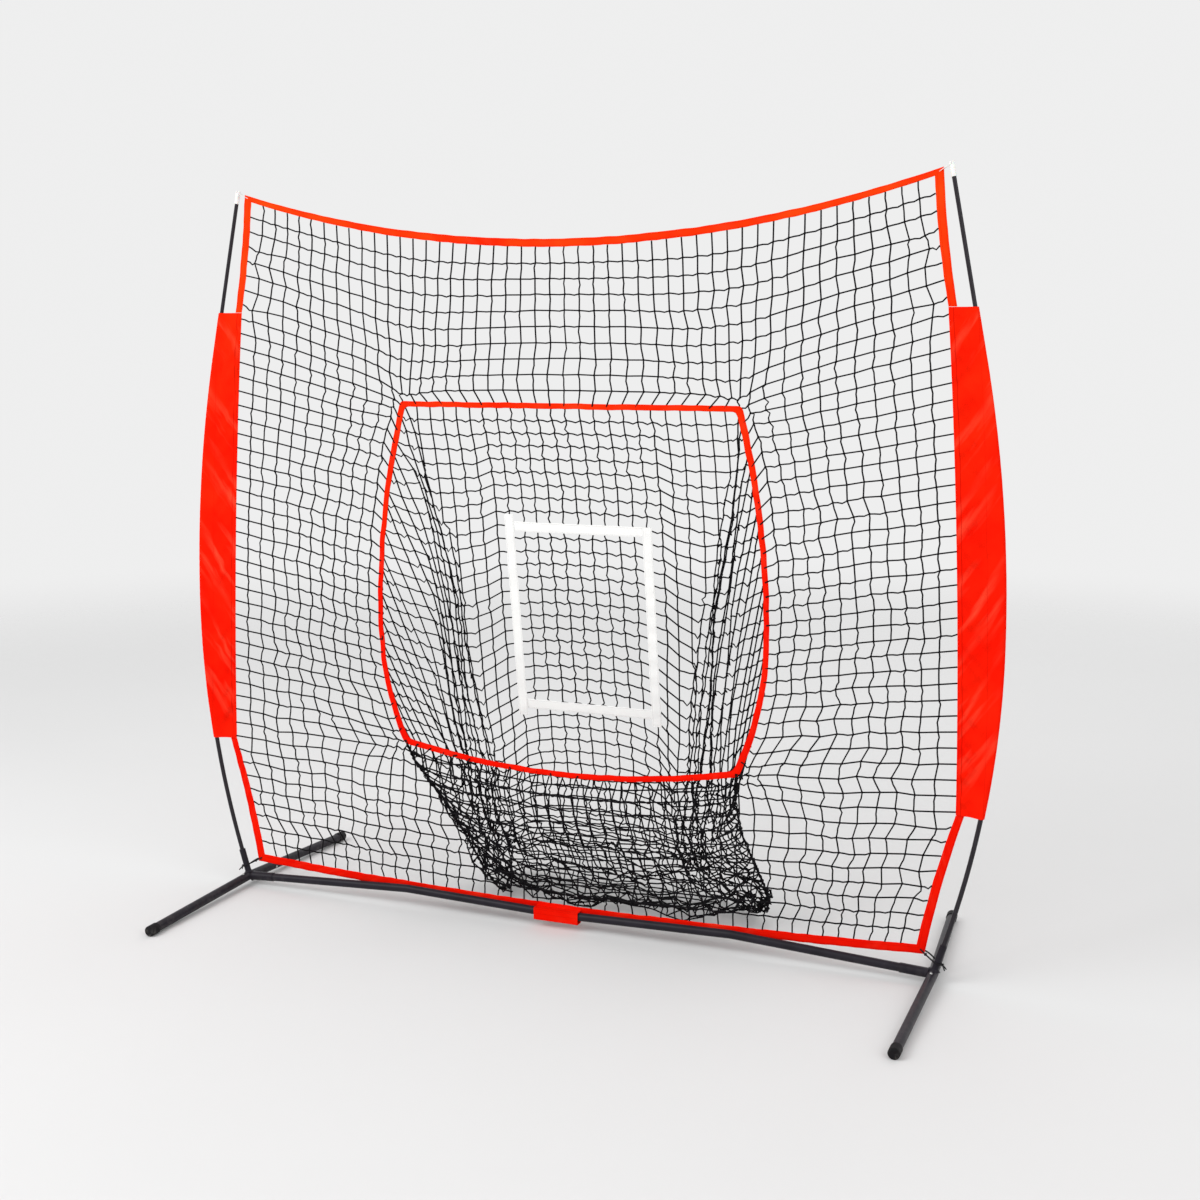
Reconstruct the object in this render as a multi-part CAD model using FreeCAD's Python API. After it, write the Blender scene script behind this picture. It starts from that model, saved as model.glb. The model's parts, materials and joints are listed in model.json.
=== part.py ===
import FreeCAD, Part
import math
import os

from FreeCAD import Vector

# A bow-framed pitching target net. X runs across it, Y to the back, Z up, in millimetres.
# The origin is on the ground, halfway between the two corner joints.
# The right-hand side is modelled and mirrored for the left, which is at negative X.

# Steel base
CORNER_X = 1075.5
CORNER_Z = 26.0
FOOT_REACH = 505.0
REAR_TOE_IN = 4.15
FOOT_OD = 27.0
FOOT_WALL = 1.2
CAP_WALL = 2.0
CAP_LENGTH = 34.0
CAP_END = 5.0
CAP_ROUND = 3.5
SOLE_DEPTH = 0.6
COLLAR_HALF = 22.0
STUB_LENGTH = 150.0
STUB_WALL = 1.5
BAR_OD = 24.0
BAR_WALL = 1.2
BAR_SOCKET_OD = 27.0
BAR_SOCKET_LENGTH = 90.0
BAR_INSERT = 74.0
BAR_RISE = 3.0
BAR_FALL = 1.5
BAR_BEND_X = 512.0
BAR_BEND_RADIUS = 160.0
SWAGE_LENGTH = 70.0
WELD = 3.0
SHANK = 12.0
SWAGE_ROOT = 6.0
FIT_GAP = 0.1
END_GAP = 0.3

# Snap buttons that lock the feet onto the corner joints
BUTTON_D = 7.6
BUTTON_DOME = 2.3
BUTTON_PROUD = 3.0
BUTTON_FLANGE_D = 10.0
BUTTON_FLANGE = 1.4
BUTTON_TRAVEL = 4.5
FRONT_BUTTON_AT = 34.0
FRONT_BUTTON_ROLL = 90.0
REAR_BUTTON_AT = 120.0
REAR_BUTTON_ROLL = -15.0
SPRING_WIDTH = 6.0
SPRING_STRIP = 0.6
SPRING_ARM = 34.0

# Fibreglass poles
POLE_LEAN = 0.73
POLE_APEX_Z = 900.0
POLE_LOW_RADIUS = 2700.0
POLE_HIGH_RADIUS = 3800.0
POLE_LOW_STRAIGHT_Z = 112.0
POLE_HIGH_STRAIGHT_Z = 1650.0
POLE_BREAK_Z = 1110.0
POLE_TOP_Z = 2130.0
POLE_LOW_D = 12.7
POLE_HIGH_D = 11.0
POLE_SOCKET_OD = 19.0
POLE_SOCKET_LENGTH = 86.0
POLE_SEAT = 15.0
FERRULE_WALL = 0.9
FERRULE_LENGTH = 96.0
TIP_OD = 14.0
TIP_LENGTH = 38.0
TIP_ROUND = 1.2
NOCK_WIDTH = 3.4
NOCK_DEPTH = 7.0

# Net plane, its outer edge and its tapes
NET_SETBACK = 14.0
NET_LEAN = 0.45
TWINE = 2.0
GAP_COLUMN = 130.0
GAP_ROWS = 8
GAP_LEAST_AREA = 60.0
TAPE = 22.0
TAPE_THICK = 2.4
BOTTOM_CORNER_X = 1048.0
BOTTOM_CORNER_Z = 72.0
BOTTOM_SAG = 28.0
BOTTOM_BAND = 24.0
WAIST_X = 1139.0
WAIST_Z = 462.0
SHOULDER_X = 1074.0
SHOULDER_Z = 1775.0
TOP_CORNER_X = 1029.0
TOP_CORNER_Z = 2118.0
TOP_SAG = 150.0
LOWER_EDGE_HOLLOW = 6.0
UPPER_EDGE_HOLLOW = 5.0
SLEEVE_EDGE_SWELL = 12.0
EYELET_R = 2.6

# Opening and its binding
OPEN_TOP_X = 508.0
OPEN_TOP_Z = 1511.0
OPEN_WIDE_X = 594.5
OPEN_WIDE_Z = 880.0
OPEN_LOW_X = 514.0
OPEN_LOW_Z = 512.0
OPEN_SAG = 54.0
BINDING = 16.0
BINDING_THICK = 3.0

# Sleeves
CHANNEL_R = 9.0
FABRIC = 1.0
CHANNEL_STITCH = 27.0
SLEEVE_SPANS = 16

# Pocket
POCKET_WALL = 2.4
POCKET_CLEAR = 0.3
FLOOR_CLEAR = 0.9
POCKET_SEAM = 4.0
# Levels of the bag below the opening: height, front line, its half width, back line, its half width
POCKET_FLOOR = (1.0, 165.0, 342.0, 588.0, 452.0, 430.0, 500.0)
POCKET_FOOT = (60.0, 132.0, 348.0, 596.0, 448.0, 422.0, 486.0)
POCKET_KNEE = (250.0, 72.0, 402.0, 560.0, 290.0, 366.0, 402.0)
POCKET_NECK_HALF = 502.0
POCKET_NECK_FLARE = 510.0
BACK_NECK_HALVES = (346.0, 388.0)
BACK_LOW_HALVES = (352.0, 394.0)
BACK_WIDE_HALVES = (398.0, 428.0)
BACK_HIGH_HALVES = (462.0, 467.0)
POCKET_HEAD_DEPTH = 6.0
MESH_COLUMNS = 9
MESH_ROWS = 14
MESH_LOW_Z = 70.0
MESH_HIGH_Z = 1490.0
MESH_BAR = 8.0
MESH_BORDER = 8.0
BACK_SLOPE = 0.158
BACK_LOW_Y = 231.6
BACK_LOW_Z = 450.0
BACK_HIGH_Z = 1250.0

# Strike zone
ZONE_HALF = 214.0
ZONE_LOW_Z = 612.0
ZONE_HIGH_Z = 1157.0
ZONE_STRAP = 29.0
ZONE_THICK = 1.2
ZONE_TAIL = 22.0

# Ties and centre tab
TIE_R = 1.75
TIE_HEIGHT = 34.0
TIE_TAIL = 17.0
TIE_KNOT_R = 3.9
TIE_CORD_R = 0.9
TAB_X = -16.0
TAB_HALF = 70.0
TAB_THICK = 1.6
TAB_GAP = 0.5
TAB_UNDER_Z = 24.0
TAB_RISE = 9.0
TAB_LIP_FRONT = -6.0
TAB_LIP_BACK = 12.0

NEAR = 0.3


def unit(x, y, z):
    v = Vector(x, y, z)
    v.normalize()
    return v


def sine(degrees):
    return math.sin(math.radians(degrees))


def cosine(degrees):
    return math.cos(math.radians(degrees))


def rod(start, direction, length, radius):
    return Part.makeCylinder(radius, length, start, direction)


def pipe(start, direction, length, outer, inner):
    return rod(start, direction, length, outer).cut(rod(start, direction, length, inner))


def set_in_frame(shape, origin, x_dir, z_dir):
    """Place a shape drawn at the origin so that its X and Z follow two directions."""
    y_dir = z_dir.cross(x_dir)
    matrix = FreeCAD.Matrix(
        x_dir.x, y_dir.x, z_dir.x, origin.x,
        x_dir.y, y_dir.y, z_dir.y, origin.y,
        x_dir.z, y_dir.z, z_dir.z, origin.z,
        0.0, 0.0, 0.0, 1.0)
    placed = shape.copy()
    placed.Placement = FreeCAD.Placement(matrix).multiply(shape.Placement)
    return placed


def mirrored(shape):
    return shape.mirror(Vector(0, 0, 0), Vector(1, 0, 0))


def lean_back(shape, degrees, setback=0.0):
    """Tip a shape drawn in the XZ plane to the back about the line of the corner joints."""
    tipped = shape.copy()
    tipped.rotate(Vector(0, 0, CORNER_Z), Vector(1, 0, 0), -degrees)
    tipped.translate(Vector(0, setback, 0))
    return tipped


def net_y(z):
    return NET_SETBACK + math.tan(math.radians(NET_LEAN)) * (z - CORNER_Z)


def pole_y(z):
    return math.tan(math.radians(POLE_LEAN)) * (z - CORNER_Z)


def rounded_tube(points, radius, bends, closed=False):
    """Straight rods joined by torus segments along a path of points."""
    count = len(points)
    corners = range(count) if closed else range(1, count - 1)
    cut_back = [0.0] * count
    solids = []
    for i in corners:
        back = (points[i - 1] - points[i]).normalize()
        ahead = (points[(i + 1) % count] - points[i]).normalize()
        inside = back.getAngle(ahead)
        bend = bends[i]
        cut_back[i] = bend / math.tan(inside / 2.0)
        centre = points[i] + (back + ahead).normalize() * (bend / math.sin(inside / 2.0))
        start = points[i] + back * cut_back[i]
        disc = Part.Face(Part.Wire(Part.makeCircle(radius, start, back)))
        axis = back.cross(ahead)
        solids.append(disc.revolve(centre, axis, -math.degrees(math.pi - inside)))
    runs = range(count) if closed else range(count - 1)
    for i in runs:
        j = (i + 1) % count
        along = points[j] - points[i]
        length = along.Length - cut_back[i] - cut_back[j]
        along.normalize()
        solids.append(rod(points[i] + along * cut_back[i], along, length, radius))
    return solids[0].multiFuse(solids[1:])


# Corner joints, feet and crossbars

def foot_slope():
    end_z = FOOT_OD / 2 + CAP_WALL - SOLE_DEPTH
    return math.degrees(math.atan((CORNER_Z - end_z) / (FOOT_REACH - CAP_LENGTH / 2)))


def joint_centre():
    return Vector(CORNER_X, 0, CORNER_Z)


def front_direction():
    slope = foot_slope()
    return unit(0, -cosine(slope), -sine(slope))


def rear_direction():
    slope = foot_slope()
    return unit(-sine(REAR_TOE_IN) * cosine(slope), cosine(REAR_TOE_IN) * cosine(slope), -sine(slope))


def bar_direction():
    return unit(-cosine(BAR_RISE), 0, sine(BAR_RISE))


def socket_angle():
    """Lean of the pole socket from upright, tangent to the lower arc of the bow."""
    return math.degrees(math.asin((POLE_APEX_Z - POLE_LOW_STRAIGHT_Z) / POLE_LOW_RADIUS))


def pole_apex_x():
    """Widest half width of the bow, with the pole's straight foot aimed at the joint centre."""
    straight = (POLE_LOW_STRAIGHT_Z - CORNER_Z) * math.tan(math.radians(socket_angle()))
    return CORNER_X + straight + POLE_LOW_RADIUS * (1 - cosine(socket_angle()))


def socket_direction():
    return unit(sine(socket_angle()), sine(POLE_LEAN), cosine(socket_angle()))


def stub_radius():
    return FOOT_OD / 2 - FOOT_WALL - FIT_GAP


def roll_direction(along, roll):
    """Direction square to a foot, turned from the inner side (0) towards the top (90)."""
    inner = Vector(-1, 0, 0)
    inner = (inner - along * inner.dot(along)).normalize()
    top = inner.cross(along)
    if top.z < 0:
        top = top * -1
    return inner * cosine(roll) + top * sine(roll)


def button_frames():
    """Name, foot direction, distance from the joint and outward direction of each button."""
    front = front_direction()
    rear = rear_direction()
    return [
        ("front", front, FRONT_BUTTON_AT, roll_direction(front, FRONT_BUTTON_ROLL)),
        ("rear", rear, REAR_BUTTON_AT, roll_direction(rear, REAR_BUTTON_ROLL)),
    ]


def button_hole(along, distance, outward):
    start = joint_centre() + along * distance
    return rod(start, outward, FOOT_OD, BUTTON_D / 2 + FIT_GAP)


def corner_joint():
    """Welded tee: collar with two foot stubs, a socket for the crossbar and one for the pole."""
    centre = joint_centre()
    front = front_direction()
    rear = rear_direction()
    bar = bar_direction()
    up = socket_direction()
    collar_r = FOOT_OD / 2
    bore_r = stub_radius() - STUB_WALL
    body = Part.makeSphere(collar_r, centre)
    for along in (front, rear):
        body = body.fuse(rod(centre, along, COLLAR_HALF, collar_r))
        body = body.fuse(rod(centre, along, STUB_LENGTH, stub_radius()))
    body = body.fuse(rod(centre, bar, BAR_SOCKET_LENGTH, BAR_SOCKET_OD / 2))
    body = body.fuse(rod(centre, up, POLE_SOCKET_LENGTH, POLE_SOCKET_OD / 2))
    socket_r = POLE_SOCKET_OD / 2
    weld = Part.makeCone(socket_r + 2 * WELD, socket_r, 2 * WELD, centre + up * (collar_r - WELD), up)
    body = body.fuse(weld)
    bar_weld = Part.makeCone(
        BAR_SOCKET_OD / 2 + WELD, BAR_SOCKET_OD / 2, WELD, centre + bar * (collar_r - 1), bar)
    body = body.fuse(bar_weld)
    for along in (front, rear):
        body = body.cut(rod(centre, along, STUB_LENGTH + 1, bore_r))
    bar_bore = BAR_OD / 2 + FIT_GAP
    body = body.cut(rod(centre + bar * (BAR_SOCKET_LENGTH - BAR_INSERT - NEAR), bar,
                        BAR_SOCKET_LENGTH, bar_bore))
    pole_bore = along_pole(pole_foot_z() - NEAR, CORNER_Z + 2 * POLE_SOCKET_LENGTH,
                           POLE_LOW_D / 2 + FIT_GAP)
    body = body.cut(lean_back(pole_bore, POLE_LEAN))
    for name, along, distance, outward in button_frames():
        body = body.cut(button_hole(along, distance, outward))
    return body


def foot_length(along):
    """Distance from the joint to the cap's end face that brings its far corner to the reach."""
    lateral = math.sqrt(1.0 - along.y * along.y)
    return (FOOT_REACH - (FOOT_OD / 2 + CAP_WALL) * lateral) / abs(along.y)


def foot_tube(along, distance, outward):
    centre = joint_centre()
    start = COLLAR_HALF + END_GAP
    length = foot_length(along) - CAP_END - NEAR - start
    tube = pipe(centre + along * start, along, length, FOOT_OD / 2, FOOT_OD / 2 - FOOT_WALL)
    return tube.cut(button_hole(along, distance, outward))


def foot_cap(along):
    """Push-on cap with a rounded end and a flat worn on its underside."""
    centre = joint_centre()
    end = foot_length(along)
    outer_r = FOOT_OD / 2 + CAP_WALL
    shell = rod(centre + along * (end - CAP_LENGTH), along, CAP_LENGTH, outer_r)
    far_edges = [e for e in shell.Edges if e.CenterOfMass.distanceToPoint(centre) > end - 1
                 and len(e.Vertexes) == 1]
    shell = shell.makeFillet(CAP_ROUND, far_edges)
    bore = rod(centre + along * (end - CAP_LENGTH - 1), along, CAP_LENGTH + 1 - CAP_END,
               FOOT_OD / 2 + FIT_GAP / 2)
    cap = shell.cut(bore)
    middle = cap.BoundBox.Center
    half = CAP_LENGTH
    below = Part.makeBox(2 * half, 2 * half, half, Vector(middle.x - half, middle.y - half, -half))
    return cap.cut(below)


def button_flange_top():
    """Height above the foot's axis where the flange stops against the stub's inner wall."""
    inner_wall = stub_radius() - STUB_WALL
    return math.sqrt(inner_wall ** 2 - (BUTTON_FLANGE_D / 2) ** 2) - FIT_GAP


def snap_button(along, distance, outward):
    """Pin with a rounded head and a flange, drawn with its axis along Z."""
    low = button_flange_top() - BUTTON_FLANGE
    top = FOOT_OD / 2 + BUTTON_PROUD
    up = Vector(0, 0, 1)
    pin = rod(Vector(0, 0, low), up, top - low, BUTTON_D / 2)
    rim = [e for e in pin.Edges if len(e.Vertexes) == 1 and e.CenterOfMass.z > top - BUTTON_DOME]
    pin = pin.makeFillet(BUTTON_DOME, rim)
    pin = pin.fuse(rod(Vector(0, 0, low), up, BUTTON_FLANGE, BUTTON_FLANGE_D / 2))
    return set_in_frame(pin, joint_centre() + along * distance, along, outward)


def snap_spring(along, distance, outward):
    """Bent strip that presses the button out and braces on the far wall of the stub."""
    inner_wall = stub_radius() - STUB_WALL
    high = button_flange_top() - BUTTON_FLANGE - NEAR
    low = -(math.sqrt(inner_wall ** 2 - (SPRING_WIDTH / 2) ** 2) - NEAR)
    t = SPRING_STRIP
    bend_r = (high - low) / 2
    near_end = -BUTTON_FLANGE_D / 2
    turn = SPRING_ARM - bend_r
    middle = (high + low) / 2
    outer = [Vector(near_end, 0, high), Vector(turn, 0, high)]
    outer_arc = Part.Arc(outer[1], Vector(turn + bend_r, 0, middle), Vector(turn, 0, low))
    inner_arc = Part.Arc(Vector(turn, 0, low + t), Vector(turn + bend_r - t, 0, middle),
                         Vector(turn, 0, high - t))
    edges = [
        Part.LineSegment(outer[0], outer[1]).toShape(),
        outer_arc.toShape(),
        Part.LineSegment(Vector(turn, 0, low), Vector(near_end, 0, low)).toShape(),
        Part.LineSegment(Vector(near_end, 0, low), Vector(near_end, 0, low + t)).toShape(),
        Part.LineSegment(Vector(near_end, 0, low + t), Vector(turn, 0, low + t)).toShape(),
        inner_arc.toShape(),
        Part.LineSegment(Vector(turn, 0, high - t), Vector(near_end, 0, high - t)).toShape(),
        Part.LineSegment(Vector(near_end, 0, high - t), outer[0]).toShape(),
    ]
    strip = Part.Face(Part.Wire(edges)).extrude(Vector(0, SPRING_WIDTH, 0))
    strip.translate(Vector(0, -SPRING_WIDTH / 2, 0))
    return set_in_frame(strip, joint_centre() + along * distance, along, outward)


def bar_bend_point():
    rise = (CORNER_X - BAR_BEND_X) * math.tan(math.radians(BAR_RISE))
    return Vector(BAR_BEND_X, 0, CORNER_Z + rise)


def bar_middle():
    bend = bar_bend_point()
    return Vector(0, 0, bend.z - BAR_BEND_X * math.tan(math.radians(BAR_FALL)))


def crossbar(with_swage):
    """Half crossbar with one gentle bend; one half is swaged down at the middle."""
    start = joint_centre() + bar_direction() * (BAR_SOCKET_LENGTH - BAR_INSERT)
    middle = bar_middle()
    past = middle + (middle - bar_bend_point()).normalize() * BAR_WALL
    path = [start, bar_bend_point(), past]
    bends = [0, BAR_BEND_RADIUS, 0]
    outer = rounded_tube(path, BAR_OD / 2, bends)
    inner = rounded_tube(path, BAR_OD / 2 - BAR_WALL, bends)
    beyond = Part.makeBox(BAR_OD, 2 * BAR_OD, 4 * BAR_OD, Vector(END_GAP / 2 - BAR_OD, -BAR_OD, 0))
    tube = outer.cut(inner).cut(beyond)
    if not with_swage:
        return tube
    swage_r = BAR_OD / 2 - BAR_WALL - FIT_GAP
    across = unit(-cosine(BAR_FALL), 0, sine(BAR_FALL))
    root = unit(cosine(BAR_FALL), 0, sine(BAR_FALL))
    taper = pipe(middle - across * SWAGE_ROOT, across, SWAGE_LENGTH, swage_r, swage_r - BAR_WALL)
    shank = pipe(middle + root * SHANK, root * -1, SHANK - 2 * END_GAP,
                 BAR_OD / 2 - BAR_WALL, swage_r - BAR_WALL)
    return tube.fuse(shank).fuse(taper)


# Poles

def pole_x(z):
    """Half width of the bow at a height: two tangent arcs with straight ends."""
    if z < POLE_LOW_STRAIGHT_Z:
        rise = POLE_LOW_STRAIGHT_Z - z
        return pole_x(POLE_LOW_STRAIGHT_Z) - rise * math.tan(math.radians(socket_angle()))
    if z > POLE_HIGH_STRAIGHT_Z:
        drop = POLE_HIGH_STRAIGHT_Z - POLE_APEX_Z
        slope = drop / math.sqrt(POLE_HIGH_RADIUS ** 2 - drop ** 2)
        return pole_x(POLE_HIGH_STRAIGHT_Z) - slope * (z - POLE_HIGH_STRAIGHT_Z)
    radius = POLE_LOW_RADIUS if z < POLE_APEX_Z else POLE_HIGH_RADIUS
    away = z - POLE_APEX_Z
    return pole_apex_x() - radius + math.sqrt(radius * radius - away * away)


def pole_point(z):
    return Vector(pole_x(z), 0, z)


def pole_path(low, high):
    """Wire of the pole's centreline between two heights."""
    breaks = [POLE_LOW_STRAIGHT_Z, POLE_APEX_Z, POLE_HIGH_STRAIGHT_Z]
    heights = [low] + [z for z in breaks if low < z < high] + [high]
    edges = []
    for a, b in zip(heights, heights[1:]):
        middle = (a + b) / 2
        if middle < POLE_LOW_STRAIGHT_Z or middle > POLE_HIGH_STRAIGHT_Z:
            edges.append(Part.LineSegment(pole_point(a), pole_point(b)).toShape())
        else:
            edges.append(Part.Arc(pole_point(a), pole_point(middle), pole_point(b)).toShape())
    return Part.Wire(edges)


def along_pole(low, high, radius):
    path = pole_path(low, high)
    start = path.Edges[0]
    direction = start.tangentAt(start.FirstParameter)
    ring = Part.Wire(Part.makeCircle(radius, pole_point(low), direction))
    return path.makePipeShell([ring], True, False)


def pole_foot_z():
    return CORNER_Z + (POLE_SEAT + NEAR) * cosine(socket_angle())


def pole_lower():
    return lean_back(along_pole(pole_foot_z(), POLE_BREAK_Z, POLE_LOW_D / 2), POLE_LEAN)


def pole_upper():
    top = POLE_TOP_Z - NOCK_DEPTH - NEAR * 4
    return lean_back(along_pole(POLE_BREAK_Z + END_GAP, top, POLE_HIGH_D / 2), POLE_LEAN)


def pole_ferrule():
    """Steel sleeve fixed on the lower section that the upper section plugs into."""
    half = FERRULE_LENGTH / 2
    low = POLE_BREAK_Z - half
    high = POLE_BREAK_Z + half
    outer = along_pole(low, high, POLE_LOW_D / 2 + FERRULE_WALL + FIT_GAP / 2)
    low_bore = along_pole(low - 1, POLE_BREAK_Z, POLE_LOW_D / 2 + FIT_GAP / 2)
    high_bore = along_pole(POLE_BREAK_Z - 1, high + 1, POLE_HIGH_D / 2 + FIT_GAP / 2)
    return lean_back(outer.cut(low_bore).cut(high_bore), POLE_LEAN)


def pole_direction_top():
    return (pole_point(POLE_TOP_Z) - pole_point(POLE_TOP_Z - TIP_LENGTH)).normalize()


def pole_tip():
    """White end cap with a slot across its top for the tie cord."""
    up = pole_direction_top()
    top = pole_point(POLE_TOP_Z)
    base = top - up * TIP_LENGTH
    cap = rod(base, up, TIP_LENGTH, TIP_OD / 2)
    ends = [e for e in cap.Edges if len(e.Vertexes) == 1 and e.CenterOfMass.z > top.z - NOCK_DEPTH]
    cap = cap.makeFillet(TIP_ROUND, ends)
    bore = rod(base - up, up, TIP_LENGTH - NOCK_DEPTH, POLE_HIGH_D / 2 + FIT_GAP / 2)
    slot = Part.makeBox(NOCK_WIDTH, 2 * TIP_OD, 2 * NOCK_DEPTH,
                        Vector(-NOCK_WIDTH / 2, -TIP_OD, -NOCK_DEPTH))
    slot = set_in_frame(slot, top, Vector(0, 1, 0).cross(up), up)
    return lean_back(cap.cut(bore).cut(slot), POLE_LEAN)


# Outlines in the net plane

def arc_edge(start, end, bulge):
    """Arc from one point to another that swells to the left of its travel by the bulge."""
    if abs(bulge) < 0.01:
        return Part.LineSegment(start, end).toShape()
    chord = end - start
    side = Vector(-chord.z, 0, chord.x).normalize()
    middle = (start + end) * 0.5 + side * bulge
    return Part.Arc(start, middle, end).toShape()


def flat(x, z):
    return Vector(x, 0, z)


def flip(point):
    return Vector(-point.x, point.y, point.z)


def outer_corners():
    return [flat(BOTTOM_CORNER_X, BOTTOM_CORNER_Z), flat(WAIST_X, WAIST_Z),
            flat(SHOULDER_X, SHOULDER_Z), flat(TOP_CORNER_X, TOP_CORNER_Z)]


def inner_corners(inset=0.0):
    tape = TAPE + inset
    return [flat(BOTTOM_CORNER_X - tape, BOTTOM_CORNER_Z + BOTTOM_BAND + inset),
            flat(WAIST_X - tape, WAIST_Z),
            flat(SHOULDER_X - tape, SHOULDER_Z),
            flat(TOP_CORNER_X - tape, TOP_CORNER_Z - tape)]


def side_edges(corners):
    """Right-hand edges of an outline from its bottom corner up to its top corner."""
    bottom, waist, shoulder, top = corners
    return [arc_edge(bottom, waist, LOWER_EDGE_HOLLOW),
            arc_edge(waist, shoulder, -SLEEVE_EDGE_SWELL),
            arc_edge(shoulder, top, UPPER_EDGE_HOLLOW)]


def net_outline(inset=0.0):
    corners = inner_corners(inset)
    left = [flip(p) for p in corners]
    edges = side_edges(corners)
    edges.append(arc_edge(corners[3], left[3], TOP_SAG))
    for a, b, bulge in ((3, 2, UPPER_EDGE_HOLLOW), (2, 1, -SLEEVE_EDGE_SWELL), (1, 0, LOWER_EDGE_HOLLOW)):
        edges.append(arc_edge(left[a], left[b], bulge))
    edges.append(arc_edge(left[0], corners[0], -BOTTOM_SAG))
    return Part.Wire(edges)


def upright_arc(apex, end):
    """Arc that leaves the apex straight up or down and passes through the end point."""
    rise = end.z - apex.z
    inward = apex.x - end.x
    radius = (rise * rise + inward * inward) / (2 * abs(inward))
    side = 1 if inward > 0 else -1
    half = math.asin(rise / radius) / 2
    middle = flat(apex.x - side * radius * (1 - math.cos(half)), apex.z + radius * math.sin(half))
    return Part.Arc(apex, middle, end).toShape()


def opening_outline(outset=0.0):
    """Closed D-like outline: straight top, bowed sides, sagging bottom."""
    top = flat(OPEN_TOP_X + outset, OPEN_TOP_Z + outset)
    wide = flat(OPEN_WIDE_X + outset, OPEN_WIDE_Z)
    low = flat(OPEN_LOW_X + outset, OPEN_LOW_Z - outset)
    edges = [upright_arc(wide, top), arc_edge(top, flip(top), 0),
             upright_arc(flip(wide), flip(top)), upright_arc(flip(wide), flip(low)),
             arc_edge(flip(low), low, -OPEN_SAG), upright_arc(wide, low)]
    return Part.Wire(Part.__sortEdges__(edges))


def opening_half_width(z):
    """Half width of the opening's centre line at a height between its corners."""
    if z > OPEN_WIDE_Z:
        end_x = OPEN_TOP_X
        rise = OPEN_TOP_Z - OPEN_WIDE_Z
    else:
        end_x = OPEN_LOW_X
        rise = OPEN_WIDE_Z - OPEN_LOW_Z
    inward = OPEN_WIDE_X - end_x
    radius = (rise * rise + inward * inward) / (2 * inward)
    away = min(abs(z - OPEN_WIDE_Z), rise)
    return OPEN_WIDE_X - radius + math.sqrt(radius * radius - away * away)


def in_net_plane(face, thickness):
    """Thicken a face drawn in the XZ plane and tip it into the net plane."""
    sheet = face.extrude(Vector(0, thickness, 0))
    sheet.translate(Vector(0, -thickness / 2, 0))
    return lean_back(sheet, NET_LEAN, NET_SETBACK)


def eyelet(corner_outer, corner_inner):
    middle = (corner_outer + corner_inner) * 0.5
    start = Vector(middle.x, -TAPE_THICK, middle.z)
    hole = Part.makeCylinder(EYELET_R, 2 * TAPE_THICK, start, Vector(0, 1, 0))
    return lean_back(hole, NET_LEAN, NET_SETBACK)


def bottom_eyelet():
    return (outer_corners()[0] + inner_corners()[0]) * 0.5


def top_eyelet():
    return (outer_corners()[3] + inner_corners()[3]) * 0.5


# Nets, tapes and binding

def netting():
    """The flat net as one holed sheet, with every third twine of the real mesh."""
    rim = Part.Face([net_outline(), opening_outline(BINDING / 2)])
    rim.validate()
    field = Part.Face([net_outline(TWINE), opening_outline(BINDING / 2 + TWINE)])
    field.validate()
    row = (OPEN_TOP_Z - OPEN_LOW_Z) / GAP_ROWS
    half_columns = math.ceil(WAIST_X / GAP_COLUMN)
    low_rows = math.ceil((OPEN_LOW_Z - BOTTOM_CORNER_Z) / row)
    high_rows = math.ceil((TOP_CORNER_Z - OPEN_TOP_Z) / row)
    cells = []
    for i in range(-half_columns, half_columns):
        for j in range(-low_rows, GAP_ROWS + high_rows):
            x = i * GAP_COLUMN + TWINE / 2
            z = OPEN_LOW_Z + j * row + TWINE / 2
            corner = Vector(x, 0, z)
            cells.append(Part.makePlane(GAP_COLUMN - TWINE, row - TWINE, corner, Vector(0, -1, 0),
                                        Vector(1, 0, 0)))
    gaps = Part.makeCompound(cells).common(field)
    gaps = Part.makeCompound([f for f in gaps.Faces if f.Area > GAP_LEAST_AREA])
    return rim.cut(gaps)


def net_panels():
    """Split the netting at the opening's corners into the panels above, below and beside it."""
    sheet = netting()
    far = TOP_CORNER_Z
    low = OPEN_LOW_Z
    high = OPEN_TOP_Z
    zones = {
        "net_below_pocket": (-far, far, 0.0, low),
        "net_above_pocket": (-far, far, high, far),
        "net_left_of_pocket": (-far, 0.0, low, high),
        "net_right_of_pocket": (0.0, far, low, high),
    }
    panels = {}
    for name, (x0, x1, z0, z1) in zones.items():
        zone = Part.makePlane(x1 - x0, z1 - z0, Vector(x0, 0, z0), Vector(0, -1, 0), Vector(1, 0, 0))
        piece = sheet.common(zone)
        panels[name] = in_net_plane(Part.makeCompound(piece.Faces), TWINE)
    return panels


def tape_between(outer_a, outer_b, inner_b, inner_a, bulge):
    edges = [arc_edge(outer_a, outer_b, bulge),
             Part.LineSegment(outer_b, inner_b).toShape(),
             arc_edge(inner_b, inner_a, -bulge),
             Part.LineSegment(inner_a, outer_a).toShape()]
    return in_net_plane(Part.Face(Part.Wire(edges)), TAPE_THICK)


def top_band():
    outer = outer_corners()[3]
    inner = inner_corners()[3]
    band = tape_between(outer, flip(outer), flip(inner), inner, TOP_SAG)
    hole = eyelet(outer, inner)
    return band.cut(hole).cut(mirrored(hole))


def bottom_band():
    outer = outer_corners()[0]
    inner = inner_corners()[0]
    band = tape_between(flip(outer), outer, inner, flip(inner), -BOTTOM_SAG)
    hole = eyelet(outer, inner)
    return band.cut(hole).cut(mirrored(hole))


def edge_tape_upper():
    outer = outer_corners()
    inner = inner_corners()
    tape = tape_between(outer[2], outer[3], inner[3], inner[2], UPPER_EDGE_HOLLOW)
    return tape.cut(eyelet(outer[3], inner[3]))


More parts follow.
